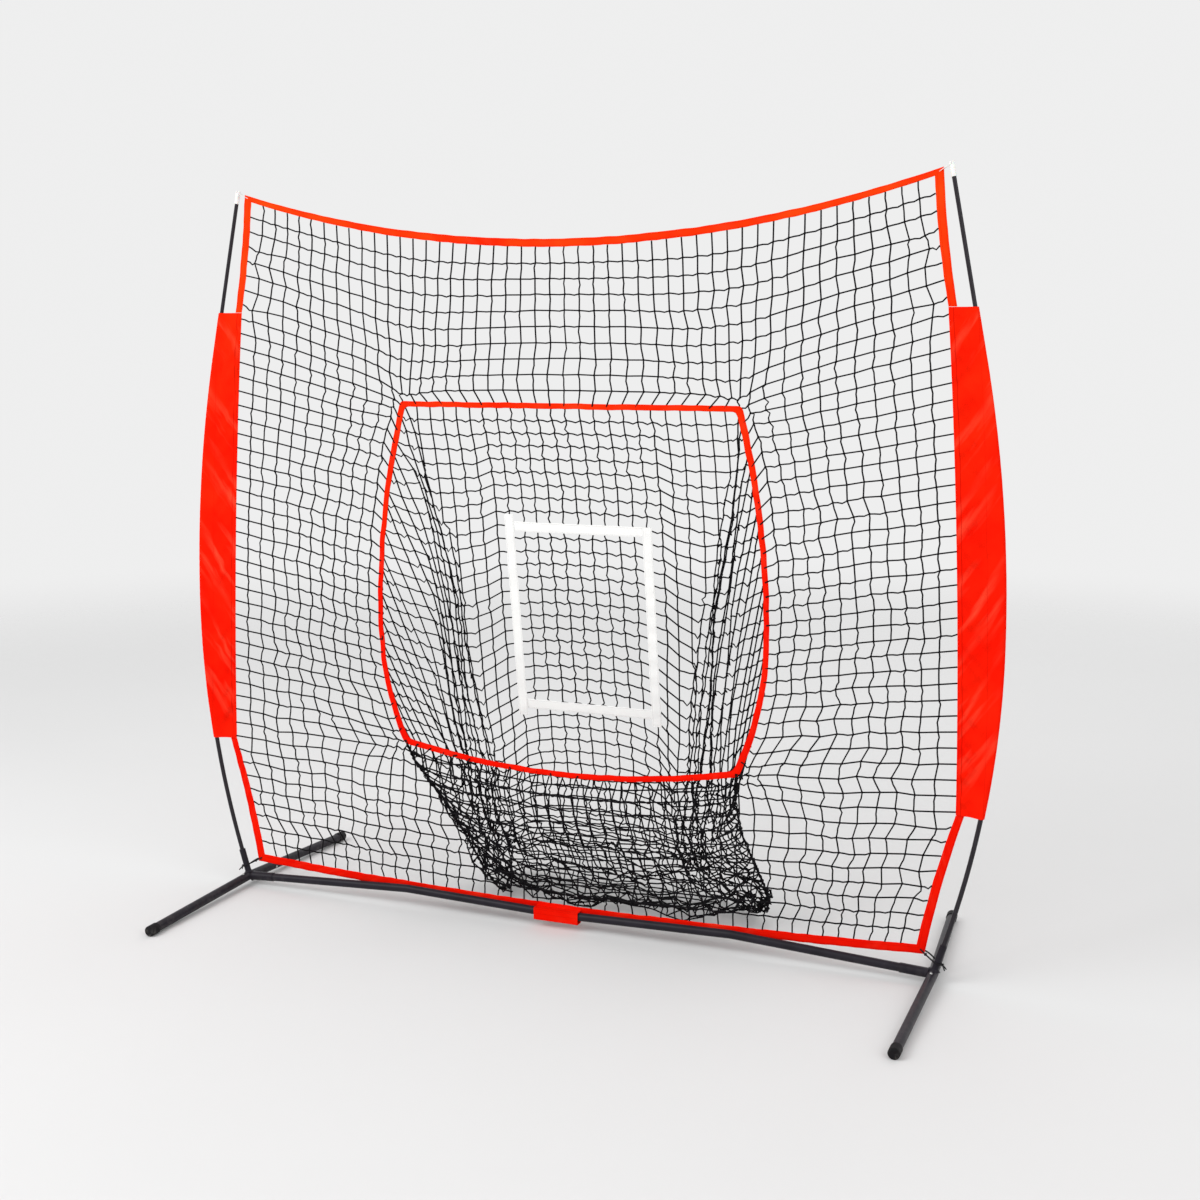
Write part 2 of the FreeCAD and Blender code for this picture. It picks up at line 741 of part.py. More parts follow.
def edge_tape_lower():
    outer = outer_corners()
    inner = inner_corners()
    tape = tape_between(outer[0], outer[1], inner[1], inner[0], LOWER_EDGE_HOLLOW)
    return tape.cut(eyelet(outer[0], inner[0]))


def opening_binding():
    ring = Part.Face([opening_outline(BINDING / 2), opening_outline(-BINDING / 2)])
    ring.validate()
    return in_net_plane(ring, BINDING_THICK)


# Sleeves

def sleeve_edge_x(z):
    """Half width of the netting where the sleeve is sewn to it."""
    corners = inner_corners()
    share = (z - WAIST_Z) / (SHOULDER_Z - WAIST_Z)
    straight = corners[1].x + (corners[2].x - corners[1].x) * share
    return straight + SLEEVE_EDGE_SWELL * 4 * share * (1 - share) + NEAR


def sleeve_section(z, grow, reach):
    """Teardrop round the pole that closes to two flat layers at the stitch line."""
    pole = Vector(pole_x(z), pole_y(z), z)
    edge = Vector(sleeve_edge_x(z), net_y(z), z)
    inward = (edge - pole).normalize()
    side = Vector(0, 0, 1).cross(inward)
    round_r = CHANNEL_R - grow
    layer = FABRIC - grow
    stitch = pole + inward * (CHANNEL_STITCH - 2 * grow)
    far = edge if reach else stitch
    nose = pole - inward * round_r
    low_quarter = pole - side * round_r
    high_quarter = pole + side * round_r
    mid_a = pole + (side - inward).normalize() * round_r
    mid_b = pole + (side * -1 - inward).normalize() * round_r
    edges = [Part.Arc(high_quarter, mid_a, nose).toShape(),
             Part.Arc(nose, mid_b, low_quarter).toShape()]
    if reach:
        edges.append(Part.LineSegment(low_quarter, stitch - side * layer).toShape())
        edges.append(Part.LineSegment(stitch - side * layer, far - side * layer).toShape())
        edges.append(Part.LineSegment(far - side * layer, far + side * layer).toShape())
        edges.append(Part.LineSegment(far + side * layer, stitch + side * layer).toShape())
        edges.append(Part.LineSegment(stitch + side * layer, high_quarter).toShape())
    else:
        edges.append(Part.LineSegment(low_quarter, stitch).toShape())
        edges.append(Part.LineSegment(stitch, high_quarter).toShape())
    return Part.Wire(edges)


def sleeve():
    """Fabric wing with a channel for the pole along its outer edge."""
    low = WAIST_Z + NEAR
    high = SHOULDER_Z - NEAR
    step = (high - low) / SLEEVE_SPANS
    outer = [sleeve_section(low + i * step, 0, True) for i in range(SLEEVE_SPANS + 1)]
    body = Part.makeLoft(outer, True, True)
    between = [low + i * step for i in range(1, SLEEVE_SPANS)]
    heights = [low - FABRIC] + between + [high + FABRIC]
    hollow = Part.makeLoft([sleeve_section(z, FABRIC, False) for z in heights], True, True)
    return body.cut(hollow)


# Pocket and strike zone

def bag_corners(level, skin):
    """Corners of the bag at one level: front left, front right, back right, back left."""
    z, front_y, front_left, front_right, rear_y, rear_left, rear_right = level
    front_skin = skin if z <= OPEN_LOW_Z else 0.0
    return [
        Vector(-front_left + skin, front_y + front_skin, z),
        Vector(front_right - skin, front_y + front_skin, z),
        Vector(rear_right - skin, rear_y - skin, z),
        Vector(-rear_left + skin, rear_y - skin, z),
    ]


def triangle(a, b, c):
    return Part.Face(Part.makePolygon([a, b, c, a]))


def bag_wall(levels, start, end):
    """One wall of the bag from corner to corner, in flat facets, mitred where it meets the next."""
    sections = []
    for level in levels:
        outer = bag_corners(level, 0.0)
        inner = bag_corners(level, POCKET_WALL)
        sections.append([outer[start], outer[end], inner[end], inner[start]])
    faces = [Part.Face(Part.makePolygon(ring + ring[:1])) for ring in (sections[0], sections[-1])]
    for low, high in zip(sections, sections[1:]):
        for k in range(len(low)):
            a, b = low[k], low[(k + 1) % len(low)]
            d, c = high[k], high[(k + 1) % len(low)]
            if k < 2:
                faces += [triangle(a, b, c), triangle(a, c, d)]
            else:
                faces += [triangle(a, b, d), triangle(b, c, d)]
    return Part.Solid(Part.makeShell(faces))


def back_y(z):
    return BACK_LOW_Y - BACK_SLOPE * (z - BACK_LOW_Z)


def pocket_levels():
    """Height, front line with its reach left and right, back line with its reach, from the floor up."""
    behind = BINDING_THICK / 2 + POCKET_CLEAR
    head_z = OPEN_TOP_Z + POCKET_SEAM
    head_half = OPEN_TOP_X + POCKET_SEAM
    head_y = net_y(head_z) + behind
    low_half = OPEN_LOW_X + POCKET_SEAM
    wide_half = OPEN_WIDE_X + POCKET_SEAM
    high_half = opening_half_width(BACK_HIGH_Z) + POCKET_SEAM
    hung = [
        (BACK_LOW_Z, (POCKET_NECK_HALF, POCKET_NECK_FLARE), BACK_NECK_HALVES),
        (OPEN_LOW_Z, (low_half, low_half), BACK_LOW_HALVES),
        (OPEN_WIDE_Z, (wide_half, wide_half), BACK_WIDE_HALVES),
        (BACK_HIGH_Z, (high_half, high_half), BACK_HIGH_HALVES),
    ]
    levels = [POCKET_FLOOR, POCKET_FOOT, POCKET_KNEE]
    for z, front, rear in hung:
        levels.append((z, net_y(z) + behind, *front, back_y(z), *rear))
    levels.append((head_z, head_y, head_half, head_half, head_y + POCKET_HEAD_DEPTH, head_half, head_half))
    return levels


def reach_at(levels, side, z):
    """How far the back wall reaches to one side at a height."""
    for low, high in zip(levels, levels[1:]):
        if low[0] <= z <= high[0]:
            return low[side] + (high[side] - low[side]) * (z - low[0]) / (high[0] - low[0])
    raise ValueError("no wall at this height")


def coarse_meshes(levels):
    """Openings through the back wall, in level rows between a left and a right border."""
    pitch = (MESH_HIGH_Z - MESH_LOW_Z) / MESH_ROWS
    boxes = []
    for row in range(MESH_ROWS):
        low = MESH_LOW_Z + row * pitch
        high = low + pitch
        left = min(reach_at(levels, 5, low), reach_at(levels, 5, high)) - MESH_BORDER
        right = min(reach_at(levels, 6, low), reach_at(levels, 6, high)) - MESH_BORDER
        across = (left + right) / MESH_COLUMNS
        for column in range(MESH_COLUMNS):
            corner = Vector(-left + column * across + MESH_BAR / 2, 0, low + MESH_BAR / 2)
            boxes.append(Part.makeBox(across - MESH_BAR, POCKET_FLOOR[4] + 1, pitch - MESH_BAR, corner))
    return boxes


def pocket_front():
    """Front wall, from the ground up to the opening's sagging lower edge."""
    levels = [level for level in pocket_levels() if level[0] <= OPEN_LOW_Z]
    wall = bag_wall(levels, 0, 1)
    mouth = Part.Face(opening_outline()).extrude(Vector(0, POCKET_KNEE[1], 0))
    return wall.cut(mouth)


def pocket_back():
    """Back wall with its meshes, and a lip at its head that meets the binding."""
    levels = pocket_levels()
    head_z, head_y, head_half = levels[-1][:3]
    lip_half = head_half - 2 * POCKET_WALL
    corner = Vector(-lip_half, head_y, head_z - POCKET_WALL)
    lip = Part.makeBox(2 * lip_half, POCKET_HEAD_DEPTH - POCKET_WALL / 2, POCKET_WALL, corner)
    wall = bag_wall(levels, 2, 3).cut(coarse_meshes(levels))
    return wall.fuse(lip)


def pocket_right():
    return bag_wall(pocket_levels(), 1, 2)


def pocket_left():
    return bag_wall(pocket_levels(), 3, 0)


def pocket_floor():
    ring = bag_corners(POCKET_FLOOR, POCKET_WALL + FLOOR_CLEAR)
    return Part.Face(Part.makePolygon(ring + ring[:1])).extrude(Vector(0, 0, POCKET_WALL))


def zone_strap(x0, x1, low, high, layer):
    """Flat strap on the front of the pocket's back wall, from its own layer outwards."""
    tilt = math.degrees(math.atan(BACK_SLOPE))
    stretch = 1.0 / cosine(tilt)
    depth = NEAR + layer * (ZONE_THICK + NEAR)
    strap = Part.makeBox(x1 - x0, ZONE_THICK, (high - low) * stretch, Vector(x0, -depth - ZONE_THICK, 0))
    strap.rotate(Vector(0, 0, 0), Vector(1, 0, 0), tilt)
    strap.translate(Vector(0, back_y(low) - POCKET_WALL, low))
    return strap


def strike_zone():
    """Four straps: the upright ones lie over the level ones and run past them as short tails."""
    half = ZONE_STRAP / 2
    left = -ZONE_HALF - half
    right = ZONE_HALF + half
    low = ZONE_LOW_Z - half
    high = ZONE_HIGH_Z + half
    return {
        "zone_strap_top": zone_strap(left, right, high - ZONE_STRAP, high, 0),
        "zone_strap_bottom": zone_strap(left, right, low, low + ZONE_STRAP, 0),
        "zone_strap_left": zone_strap(left, left + ZONE_STRAP, low - ZONE_TAIL, high + ZONE_TAIL, 1),
        "zone_strap_right": zone_strap(right - ZONE_STRAP, right, low - ZONE_TAIL, high, 1),
    }


# Ties and centre tab

def corner_tie():
    """Elastic loop from the net's bottom corner round the pole socket, with a knot and two tails."""
    hole = bottom_eyelet()
    y = net_y(hole.z)
    off = TAPE_THICK / 2 + TIE_R + NEAR
    wrap_r = POLE_SOCKET_OD / 2 + TIE_R + NEAR
    pole = joint_centre() + socket_direction() * TIE_HEIGHT
    out = unit(cosine(socket_angle()), 0, -sine(socket_angle()))
    back = Vector(0, 1, 0)
    slack = wrap_r + NEAR * 2
    points = [
        Vector(hole.x, y - off, hole.z),
        pole - out * TIE_R * 2 - back * slack,
        pole + out * wrap_r - back * slack,
        pole + out * wrap_r + back * slack,
        pole - out * TIE_R * 2 + back * slack,
        Vector(hole.x + TAPE, y + off, hole.z - TAPE / 3),
        Vector(hole.x, y + off, hole.z),
    ]
    bends = [off * 0.9, wrap_r, wrap_r * 0.8, wrap_r * 0.8, wrap_r, wrap_r, off * 0.9]
    loop = rounded_tube(points, TIE_R, bends, True)
    knot_r = TIE_KNOT_R
    knot_at = pole + out * (wrap_r - TIE_R + knot_r)
    knot = Part.makeSphere(knot_r, knot_at)
    tails = [rod(knot_at, unit(0.7, side, -0.9), TIE_TAIL, TIE_R * 0.8) for side in (-0.9, 0.5)]
    return loop.multiFuse([knot] + tails)


def top_tie():
    """Cord loop through the net's top corner and over the nock in the pole's tip."""
    hole = top_eyelet()
    y = net_y(hole.z)
    off = TAPE_THICK / 2 + TIE_CORD_R + NEAR
    nock_z = POLE_TOP_Z - NOCK_DEPTH + TIE_CORD_R + NEAR
    nock = Vector(pole_x(nock_z), pole_y(nock_z), nock_z)
    reach = TIP_OD / 2 + TIE_CORD_R + NEAR
    points = [Vector(hole.x, y - off, hole.z), nock + Vector(0, -reach, 0),
              nock + Vector(0, reach, 0), Vector(hole.x, y + off, hole.z)]
    return rounded_tube(points, TIE_CORD_R, [off * 0.9, 1.5, 1.5, off * 0.9], True)


def tab_slab(points):
    """Strip of the centre tab: a bent band in the YZ plane, drawn at one side and swept across."""
    edges = [Part.LineSegment(a, b).toShape() for a, b in zip(points, points[1:] + points[:1])]
    slab = Part.Face(Part.Wire(edges)).extrude(Vector(2 * TAB_HALF, 0, 0))
    slab.translate(Vector(TAB_X - TAB_HALF, 0, 0))
    return slab


def tab_top_z():
    far = abs(TAB_X) + TAB_HALF
    return bar_middle().z + BAR_OD / 2 + far * math.tan(math.radians(BAR_FALL)) + NEAR


def tab_front_y():
    return -BAR_OD / 2 - NEAR


def tab_strap():
    """Fixed leaves of the centre tab: one over the bar, one down behind it and forward below."""
    over = tab_top_z()
    top = over + TAB_RISE
    band_y = net_y(over) - TAPE_THICK / 2 - NEAR
    behind = net_y(over) + TAPE_THICK / 2 + NEAR
    front = tab_front_y()
    low = TAB_UNDER_Z
    t = TAB_THICK
    top_leaf = tab_slab([
        Vector(0, front, over), Vector(0, band_y, over), Vector(0, band_y, top),
        Vector(0, band_y - t, top), Vector(0, band_y - t, over + t), Vector(0, front, over + t)])
    back_leaf = tab_slab([
        Vector(0, behind, top), Vector(0, behind, low + t), Vector(0, TAB_LIP_FRONT, low + t),
        Vector(0, TAB_LIP_FRONT, low), Vector(0, behind + t, low), Vector(0, behind + t, top)])
    return Part.makeCompound([top_leaf, back_leaf])


def tab_flap():
    """Front flap of the centre tab, hinged on its sewn edge, with a lip that sticks under the bar."""
    over = tab_top_z()
    t = TAB_THICK
    front = tab_front_y() - TAB_GAP
    low = TAB_UNDER_Z - NEAR
    return tab_slab([
        Vector(0, front, over + t), Vector(0, front - t, over + t), Vector(0, front - t, low - t),
        Vector(0, TAB_LIP_BACK, low - t), Vector(0, TAB_LIP_BACK, low), Vector(0, front, low)])


def build():
    nodes = {}
    sided = {
        "corner_joint": corner_joint(),
        "foot_cap_front": foot_cap(front_direction()),
        "foot_cap_rear": foot_cap(rear_direction()),
        "pole_lower": pole_lower(),
        "pole_ferrule": pole_ferrule(),
        "pole_upper": pole_upper(),
        "pole_tip": pole_tip(),
        "edge_tape_upper": edge_tape_upper(),
        "edge_tape_lower": edge_tape_lower(),
        "sleeve": sleeve(),
        "corner_tie": corner_tie(),
        "top_tie": top_tie(),
    }
    for place, along, distance, outward in button_frames():
        sided["foot_" + place] = foot_tube(along, distance, outward)
        sided["snap_button_" + place] = snap_button(along, distance, outward)
        sided["snap_spring_" + place] = snap_spring(along, distance, outward)
    for name, shape in sided.items():
        nodes[name + "_right"] = shape
        nodes[name + "_left"] = mirrored(shape)
    nodes["crossbar_right"] = crossbar(True)
    nodes["crossbar_left"] = mirrored(crossbar(False))
    nodes["top_band"] = top_band()
    nodes["bottom_band"] = bottom_band()
    nodes["opening_binding"] = opening_binding()
    nodes["pocket_front"] = pocket_front()
    nodes["pocket_back"] = pocket_back()
    nodes["pocket_side_left"] = pocket_left()
    nodes["pocket_side_right"] = pocket_right()
    nodes["pocket_floor"] = pocket_floor()
    nodes["tab_strap"] = tab_strap()
    nodes["tab_flap"] = tab_flap()
    nodes.update(net_panels())
    nodes.update(strike_zone())
    return nodes


def report(nodes):
    box = FreeCAD.BoundBox()
    for shape in nodes.values():
        box.add(shape.optimalBoundingBox(True, False))
    print("box", [round(v, 2) for v in (box.XMin, box.XMax, box.YMin, box.YMax, box.ZMin, box.ZMax)])
    for name, shape in sorted(nodes.items()):
        valid = "valid" if shape.isValid() else "NOT VALID"
        print(name, len(shape.Solids), "solids", round(shape.Volume / 1000.0, 2), "cm3", valid)


os.makedirs("parts", exist_ok=True)
all_nodes = build()
for node_name, node_shape in all_nodes.items():
    node_shape.exportStep("parts/" + node_name + ".step")
report(all_nodes)
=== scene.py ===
import json
import math

import bpy
import numpy as np
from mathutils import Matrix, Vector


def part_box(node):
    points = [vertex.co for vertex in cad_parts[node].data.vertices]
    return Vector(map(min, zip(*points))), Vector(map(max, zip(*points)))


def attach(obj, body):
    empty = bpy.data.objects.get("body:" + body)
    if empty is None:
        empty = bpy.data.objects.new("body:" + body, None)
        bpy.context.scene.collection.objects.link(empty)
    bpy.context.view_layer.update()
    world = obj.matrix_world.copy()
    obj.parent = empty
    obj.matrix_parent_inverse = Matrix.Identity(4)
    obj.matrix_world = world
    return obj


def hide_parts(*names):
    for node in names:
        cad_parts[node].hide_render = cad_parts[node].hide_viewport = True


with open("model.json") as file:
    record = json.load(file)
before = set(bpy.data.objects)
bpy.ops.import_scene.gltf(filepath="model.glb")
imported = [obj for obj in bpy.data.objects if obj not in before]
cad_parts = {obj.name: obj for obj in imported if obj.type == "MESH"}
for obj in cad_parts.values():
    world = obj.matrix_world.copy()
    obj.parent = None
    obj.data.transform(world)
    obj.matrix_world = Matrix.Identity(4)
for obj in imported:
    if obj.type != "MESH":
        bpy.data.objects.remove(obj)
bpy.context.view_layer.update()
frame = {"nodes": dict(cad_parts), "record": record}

bl_info = {
    "name": "Pitching Target Net",
    "version": (1, 0, 0),
    "blender": (4, 5, 0),
    "location": "View3D > Sidebar > Target Net",
    "description": "Netting, pocket, fabric, ties and finishes of a bow-framed pitching target net",
    "category": "Object",
}

# The net's plan, in metres. Corners run up the right-hand side, and the left side mirrors it.

SETBACK = 0.014
NET_LEAN = math.radians(0.45)
POLE_LEAN = math.radians(0.73)
JOINT_X = 1.0755
JOINT_Z = 0.026
TAPE = 0.022
OUTER_CORNERS = ((1.048, 0.072), (1.139, 0.462), (1.074, 1.775), (1.029, 2.118))
INNER_CORNERS = ((1.026, 0.096), (1.117, 0.462), (1.052, 1.775), (1.007, 2.096))
SIDE_SWELLS = (0.006, -0.012, 0.005)
TOP_SAG = 0.150
BOTTOM_SAG = 0.028
OPENING_TOP = (0.508, 1.511)
OPENING_WIDE = (0.5945, 0.880)
OPENING_LOW = (0.514, 0.512)
OPENING_SAG = 0.054
HALF_BINDING = 0.008

# Meshes of the flat net, counted from its bottom left corner

COLUMNS = 48
ROWS = 47
OPENING_COLUMNS = (12, 36)
OPENING_ROWS = (11, 37)
EVENING_PASSES = 900

# Where the netting is drawn in: heights of the snags at the net's edge, and reach and strength of each pull,
# with the strength at the opening's corners as a share of the pinch

SNAG_HEIGHTS = (0.255, 0.405, 1.770, 1.925)
SNAG_PULL = ((0.075, 0.035), 0.6)
TOP_CORNER_PULLS = (((0.30, 0.30), 0.4), ((0.08, 0.08), 0.9))
LOW_CORNER_PULL = ((0.20, 0.085), 1.0)

# Length, width and height of a knot as shares of its size, and its slant

KNOT_SHAPE = (1.15, 0.8, 1.0)
KNOT_SLANT = ((0.8, 0, 0.6), (0, 1, 0), (-0.6, 0, 0.8))

# Spare length of twine hangs in a shallow curve, whose depth squared is SAG_SHARE of the span times what is spare.
# A third and two thirds of the way along it has the least to the most of that depth that is given here.

SAG_SHARE = 3 / 8
FIRST_THIRD = (0.05, 0.45)
SECOND_THIRD = (0.75, 1.15)
UPRIGHT_LEAN = 0.8

# How much of the sag shows in the flat net: in the twines across and in the upright ones

NET_LEVEL_SAG = 0.5
NET_UPRIGHT_SAG = 0.85

# How the free knots of the flat net stray: over how many meshes it sets in, how near to a corner of the opening,
# how strongly at two heights, the waves that rows and columns drift with, and the single knots

EASE_MESHES = 3
CORNER_REACH = 0.11
UNREST_HEIGHTS = (0.5, 1.3)
UNREST_THERE = (1.25, 0.5)
DRIFT_ALONG = (0.9, 0.16)
DRIFT_UP = (0.17, 1.0)
DRIFT_UP_SHARE = 0.4
KNOT_STRAY = 0.0009
CORNER_KNOT_STRAY = 0.0045
BILLOW_LENGTHS = (0.35, 0.5)
BILLOW = 0.0015

# The pocket as it is cut, in meshes, counted from its top edge

POCKET_ROWS = 63
POCKET_SIDE_ROWS = 27
POCKET_SPREAD = 17
POCKET_HALF = 12
CRUMPLED_ROWS = (33, 53)
BACK_ROWS = 41
FLOOR_ROWS = 48
BACK_HALF_COLUMNS = 9
PLEAT_FADE_ROWS = 12
DROOP_ROWS = 24
ASIDE_ROWS = 10

# Where the pocket hangs: its edge behind the net's plane, the straight part of its back, and the deepest place

EDGE_SETBACK = 0.004
BACK_LOW_Y = 0.2316
BACK_LOW_Z = 0.450
BACK_SLOPE = 0.158
STRAIGHT_BACK = (0.4, 1.3)
DEEPEST_Y = 0.485
GROUND_Z = 0.006
BEHIND_NET = 0.006
STILL_BACK_HALF = 0.30

# How far apart the knots of the pocket lie, in meshes: drawn out on its back and on its sides, and the least
# and most between knots next to each other and across a mesh

BACK_TAUT = 0.95
SIDE_TAUT = 0.97
LINK_REACH = (0.4, 1)
ACROSS_REACH = (0.35, 3)

# Pleats of the gathered netting: sway from row to row, depth, and stray of the single knots

PLEAT_TURN = 0.45
PLEAT_SWAY = 0.006
PLEAT_DEPTH = 0.010
PLEAT_STRAY = 0.012

# Crumpled netting on the ground: how far its knots stray and rise, and the heap that it lies on

TANGLE = 0.6
LOW_TANGLE = 0.25
CRUMPLE_STRAY = (0.006, 0.013, 0)
CRUMPLE_RISE = 0.012
FIRST_STRAY = 0.002
HEAP_LEAST = 0.002
HEAP_MORE = 0.02
HEAP_MESHES = 6.0

# How firmly a knot keeps its first place: on the back, towards the folds, in a fold, and on a side high up or low down

STAY_BACK = 0.25
STAY_EDGE = 0.06
STAY_FOLD = 0.2
STAY_SIDE = 0.03
STAY_LOW_SIDE = 0.08

# How the pocket settles: speed kept from step to step, fall in a step, slip of a knot that lies on the ground,
# and how much of the gap two knots that lie too close are pushed apart at once

KEPT_SPEED = 0.92
FALL = 0.0012
GROUND_SLIP = 0.15
PUSH_SHARE = 0.3

# Bows

BOW_APEX_Z = 0.900
BOW_LOW_RADIUS = 2.700
BOW_HIGH_RADIUS = 3.800
BOW_LOW_Z = 0.112
BOW_HIGH_Z = 1.650
BOW_TOP_Z = 2.130
BOW_LOW_LEAN = math.asin((BOW_APEX_Z - BOW_LOW_Z) / BOW_LOW_RADIUS)

# Sleeves

CHANNEL_RADIUS = 0.0088
CHANNEL_STITCH = 0.027
CLOTH = 0.0007
SLEEVE_END = 0.02
SLEEVE_TRIM = 0.001
LAYER_GAP = 0.0006
FLAT_STEPS = 12
ROUND_STEPS = 14
CHANNEL_SHARES = (0.35, 0.7, 1.0)

# Creases of the sleeves: lengths and slants of the long and the short ones, how much of them shows,
# and the fine ones round the pole

LONG_CREASES = (0.085, 0.5)
LONG_SLANT = 1.15
SHORT_CREASES = (0.045, 0.3)
SHORT_SLANT = (0.9, 0.8)
SHORT_SHARE = 0.5
CREASE_FADE = 0.7
CREASE_DEPTH = 0.55
CREASE_AT_END = 0.35
CREASE_INSIDE = 0.65
FINE_CREASES = (0.03, 0.02)
FINE_DEPTH = 0.0004

# Steps along the tapes, the binding, the sleeves and the straps

BAND_STEPS = 230
EDGE_TAPE_STEPS = 50
OPENING_STEPS = 120
SLEEVE_LEVELS = 190
UPRIGHT_STRAP_STEPS = 90
LEVEL_STRAP_STEPS = 70

# Strike zone

ZONE_HALF = 0.214
ZONE_LOW_Z = 0.612
ZONE_HIGH_Z = 1.157
STRAP = 0.029
STRAP_TAIL = 0.022
WEBBING_THICK = 0.0013
STRAP_LAYER = 0.0015
STRAP_GAP = 0.0006
STRAP_WAVER = 0.0009

# Ties and tab

NEAR = 0.0003
HALF_TAPE = 0.0012
SOCKET_RADIUS = 0.0095
TIE_HEIGHT = 0.034
TIE_RADIUS = 0.0021
TIE_TAIL = 0.0165
SOCKET_KNOT = 0.0034
SOCKET_KNOT_RADIUS = 0.0012
CORNER_KNOT = 0.0036
CORNER_KNOT_RADIUS = 0.0013
CORNER_KNOT_SHARES = (0.66, 0.34)
TAIL_WAYS = ((0.7, -0.9, -0.9), (0.7, 0.5, -0.9))
TAIL_DROOP = (0, 0, -0.002)
TAIL_THIN = 0.8
TIP_RADIUS = 0.007
NOCK_DEPTH = 0.007
NOCK_SHARES = (-1, -0.3, 0.3, 1)
TOP_CORD_RADIUS = 0.0009
TAB_THICK = 0.0016
TAB_WEBBING = 0.0014
TAB_TRIM = 0.0006
TAB_BEND = 0.003
TAB_OVER_DROP = 0.009
TAB_OVER_TRIM = 0.0004
TAB_OVER_BEND = 0.002
TAB_UNDER_Y = -0.0055
TAB_STEPS = 34
TAB_LINES = 46


class NettingSizes(bpy.types.PropertyGroup):
    """Twine and mesh of the flat net"""

    mesh: bpy.props.FloatProperty(
        name="Mesh", description="Length of one side of a mesh",
        default=0.0450, min=0.02, max=0.1, unit="LENGTH")
    twine: bpy.props.FloatProperty(
        name="Twine radius", description="Half the thickness of the twine",
        default=0.0022, min=0.0005, max=0.003, unit="LENGTH")
    knot: bpy.props.FloatProperty(
        name="Knot radius", description="Half the thickness of a knot",
        default=0.0035, min=0.0008, max=0.005, unit="LENGTH")
    drift: bpy.props.FloatProperty(
        name="Drift", description="How far rows and columns stray from their even places",
        default=0.007, min=0.0, max=0.02, unit="LENGTH")
    zigzag: bpy.props.FloatProperty(
        name="Zigzag", description="How far the knots of a column stand left and right by turns",
        default=0.0024, min=0.0, max=0.01, unit="LENGTH")
    pinch: bpy.props.FloatProperty(
        name="Pinch", description="How far the opening's corners draw the meshes in",
        default=0.55, min=0.0, max=0.9, subtype="FACTOR")
    seed: bpy.props.IntProperty(
        name="Seed", description="Start of the random numbers",
        default=11)


class PocketSizes(bpy.types.PropertyGroup):
    """How the pocket hangs and settles"""

    steps: bpy.props.IntProperty(
        name="Settling steps", description="Steps for which the hung pocket settles",
        default=70, min=10, max=600)
    passes: bpy.props.IntProperty(
        name="Passes", description="Times that each step evens out the twine",
        default=10, min=1, max=40)
    droop: bpy.props.FloatProperty(
        name="Droop", description="Extra fall of each row towards the side folds",
        default=0.0042, min=0.0, max=0.01, unit="LENGTH")
    bunch: bpy.props.FloatProperty(
        name="Bunch", description="Width of the gathered folds per mesh in them",
        default=0.0112, min=0.0, max=0.03, unit="LENGTH")
    seed: bpy.props.IntProperty(
        name="Seed", description="Start of the random numbers",
        default=5)


class FabricSizes(bpy.types.PropertyGroup):
    """Tapes, sleeves and straps"""

    tape_thick: bpy.props.FloatProperty(
        name="Tape thickness", description="Thickness of the folded edge tape",
        default=0.0026, min=0.001, max=0.005, unit="LENGTH")
    binding_thick: bpy.props.FloatProperty(
        name="Binding thickness", description="Thickness of the binding round the opening",
        default=0.0034, min=0.001, max=0.006, unit="LENGTH")
    waver: bpy.props.FloatProperty(
        name="Waver", description="How far a sewn tape wavers",
        default=0.0011, min=0.0, max=0.005, unit="LENGTH")
    wrinkle: bpy.props.FloatProperty(
        name="Sleeve wrinkles", description="Depth of the slanting wrinkles in the sleeves",
        default=0.0085, min=0.0, max=0.02, unit="LENGTH")
    puff: bpy.props.FloatProperty(
        name="Sleeve puff", description="Half the gap between a sleeve's two layers",
        default=0.0012, min=0.0, max=0.005, unit="LENGTH")
    seed: bpy.props.IntProperty(
        name="Seed", description="Start of the random numbers",
        default=3)


class FinishColours(bpy.types.PropertyGroup):
    """Colours of the finishes"""

    twine: bpy.props.FloatVectorProperty(
        name="Twine", description="Black of the netting",
        subtype="COLOR", size=4, min=0, max=1, default=(0.0045, 0.004, 0.005, 1))
    fabric: bpy.props.FloatVectorProperty(
        name="Sleeve fabric", description="Red of the sleeves",
        subtype="COLOR", size=4, min=0, max=1, default=(0.93, 0.0062, 0.0012, 1))
    tape: bpy.props.FloatVectorProperty(
        name="Tape", description="Red of the tapes and the binding",
        subtype="COLOR", size=4, min=0, max=1, default=(0.86, 0.0055, 0.0012, 1))
    webbing: bpy.props.FloatVectorProperty(
        name="Webbing", description="White of the strike zone straps",
        subtype="COLOR", size=4, min=0, max=1, default=(0.96, 0.96, 0.95, 1))
    paint: bpy.props.FloatVectorProperty(
        name="Tube paint", description="Black of the powder-coated tubes",
        subtype="COLOR", size=4, min=0, max=1, default=(0.014, 0.012, 0.017, 1))
    rubber: bpy.props.FloatVectorProperty(
        name="Caps", description="Black of the moulded foot caps",
        subtype="COLOR", size=4, min=0, max=1, default=(0.007, 0.0065, 0.0075, 1))
    rod: bpy.props.FloatVectorProperty(
        name="Pole", description="Black of the fibreglass poles",
        subtype="COLOR", size=4, min=0, max=1, default=(0.014, 0.012, 0.015, 1))
    tip: bpy.props.FloatVectorProperty(
        name="Pole tip", description="White of the pole tips",
        subtype="COLOR", size=4, min=0, max=1, default=(0.78, 0.78, 0.76, 1))
    steel: bpy.props.FloatVectorProperty(
        name="Steel", description="Bare steel of buttons and springs",
        subtype="COLOR", size=4, min=0, max=1, default=(0.55, 0.55, 0.54, 1))


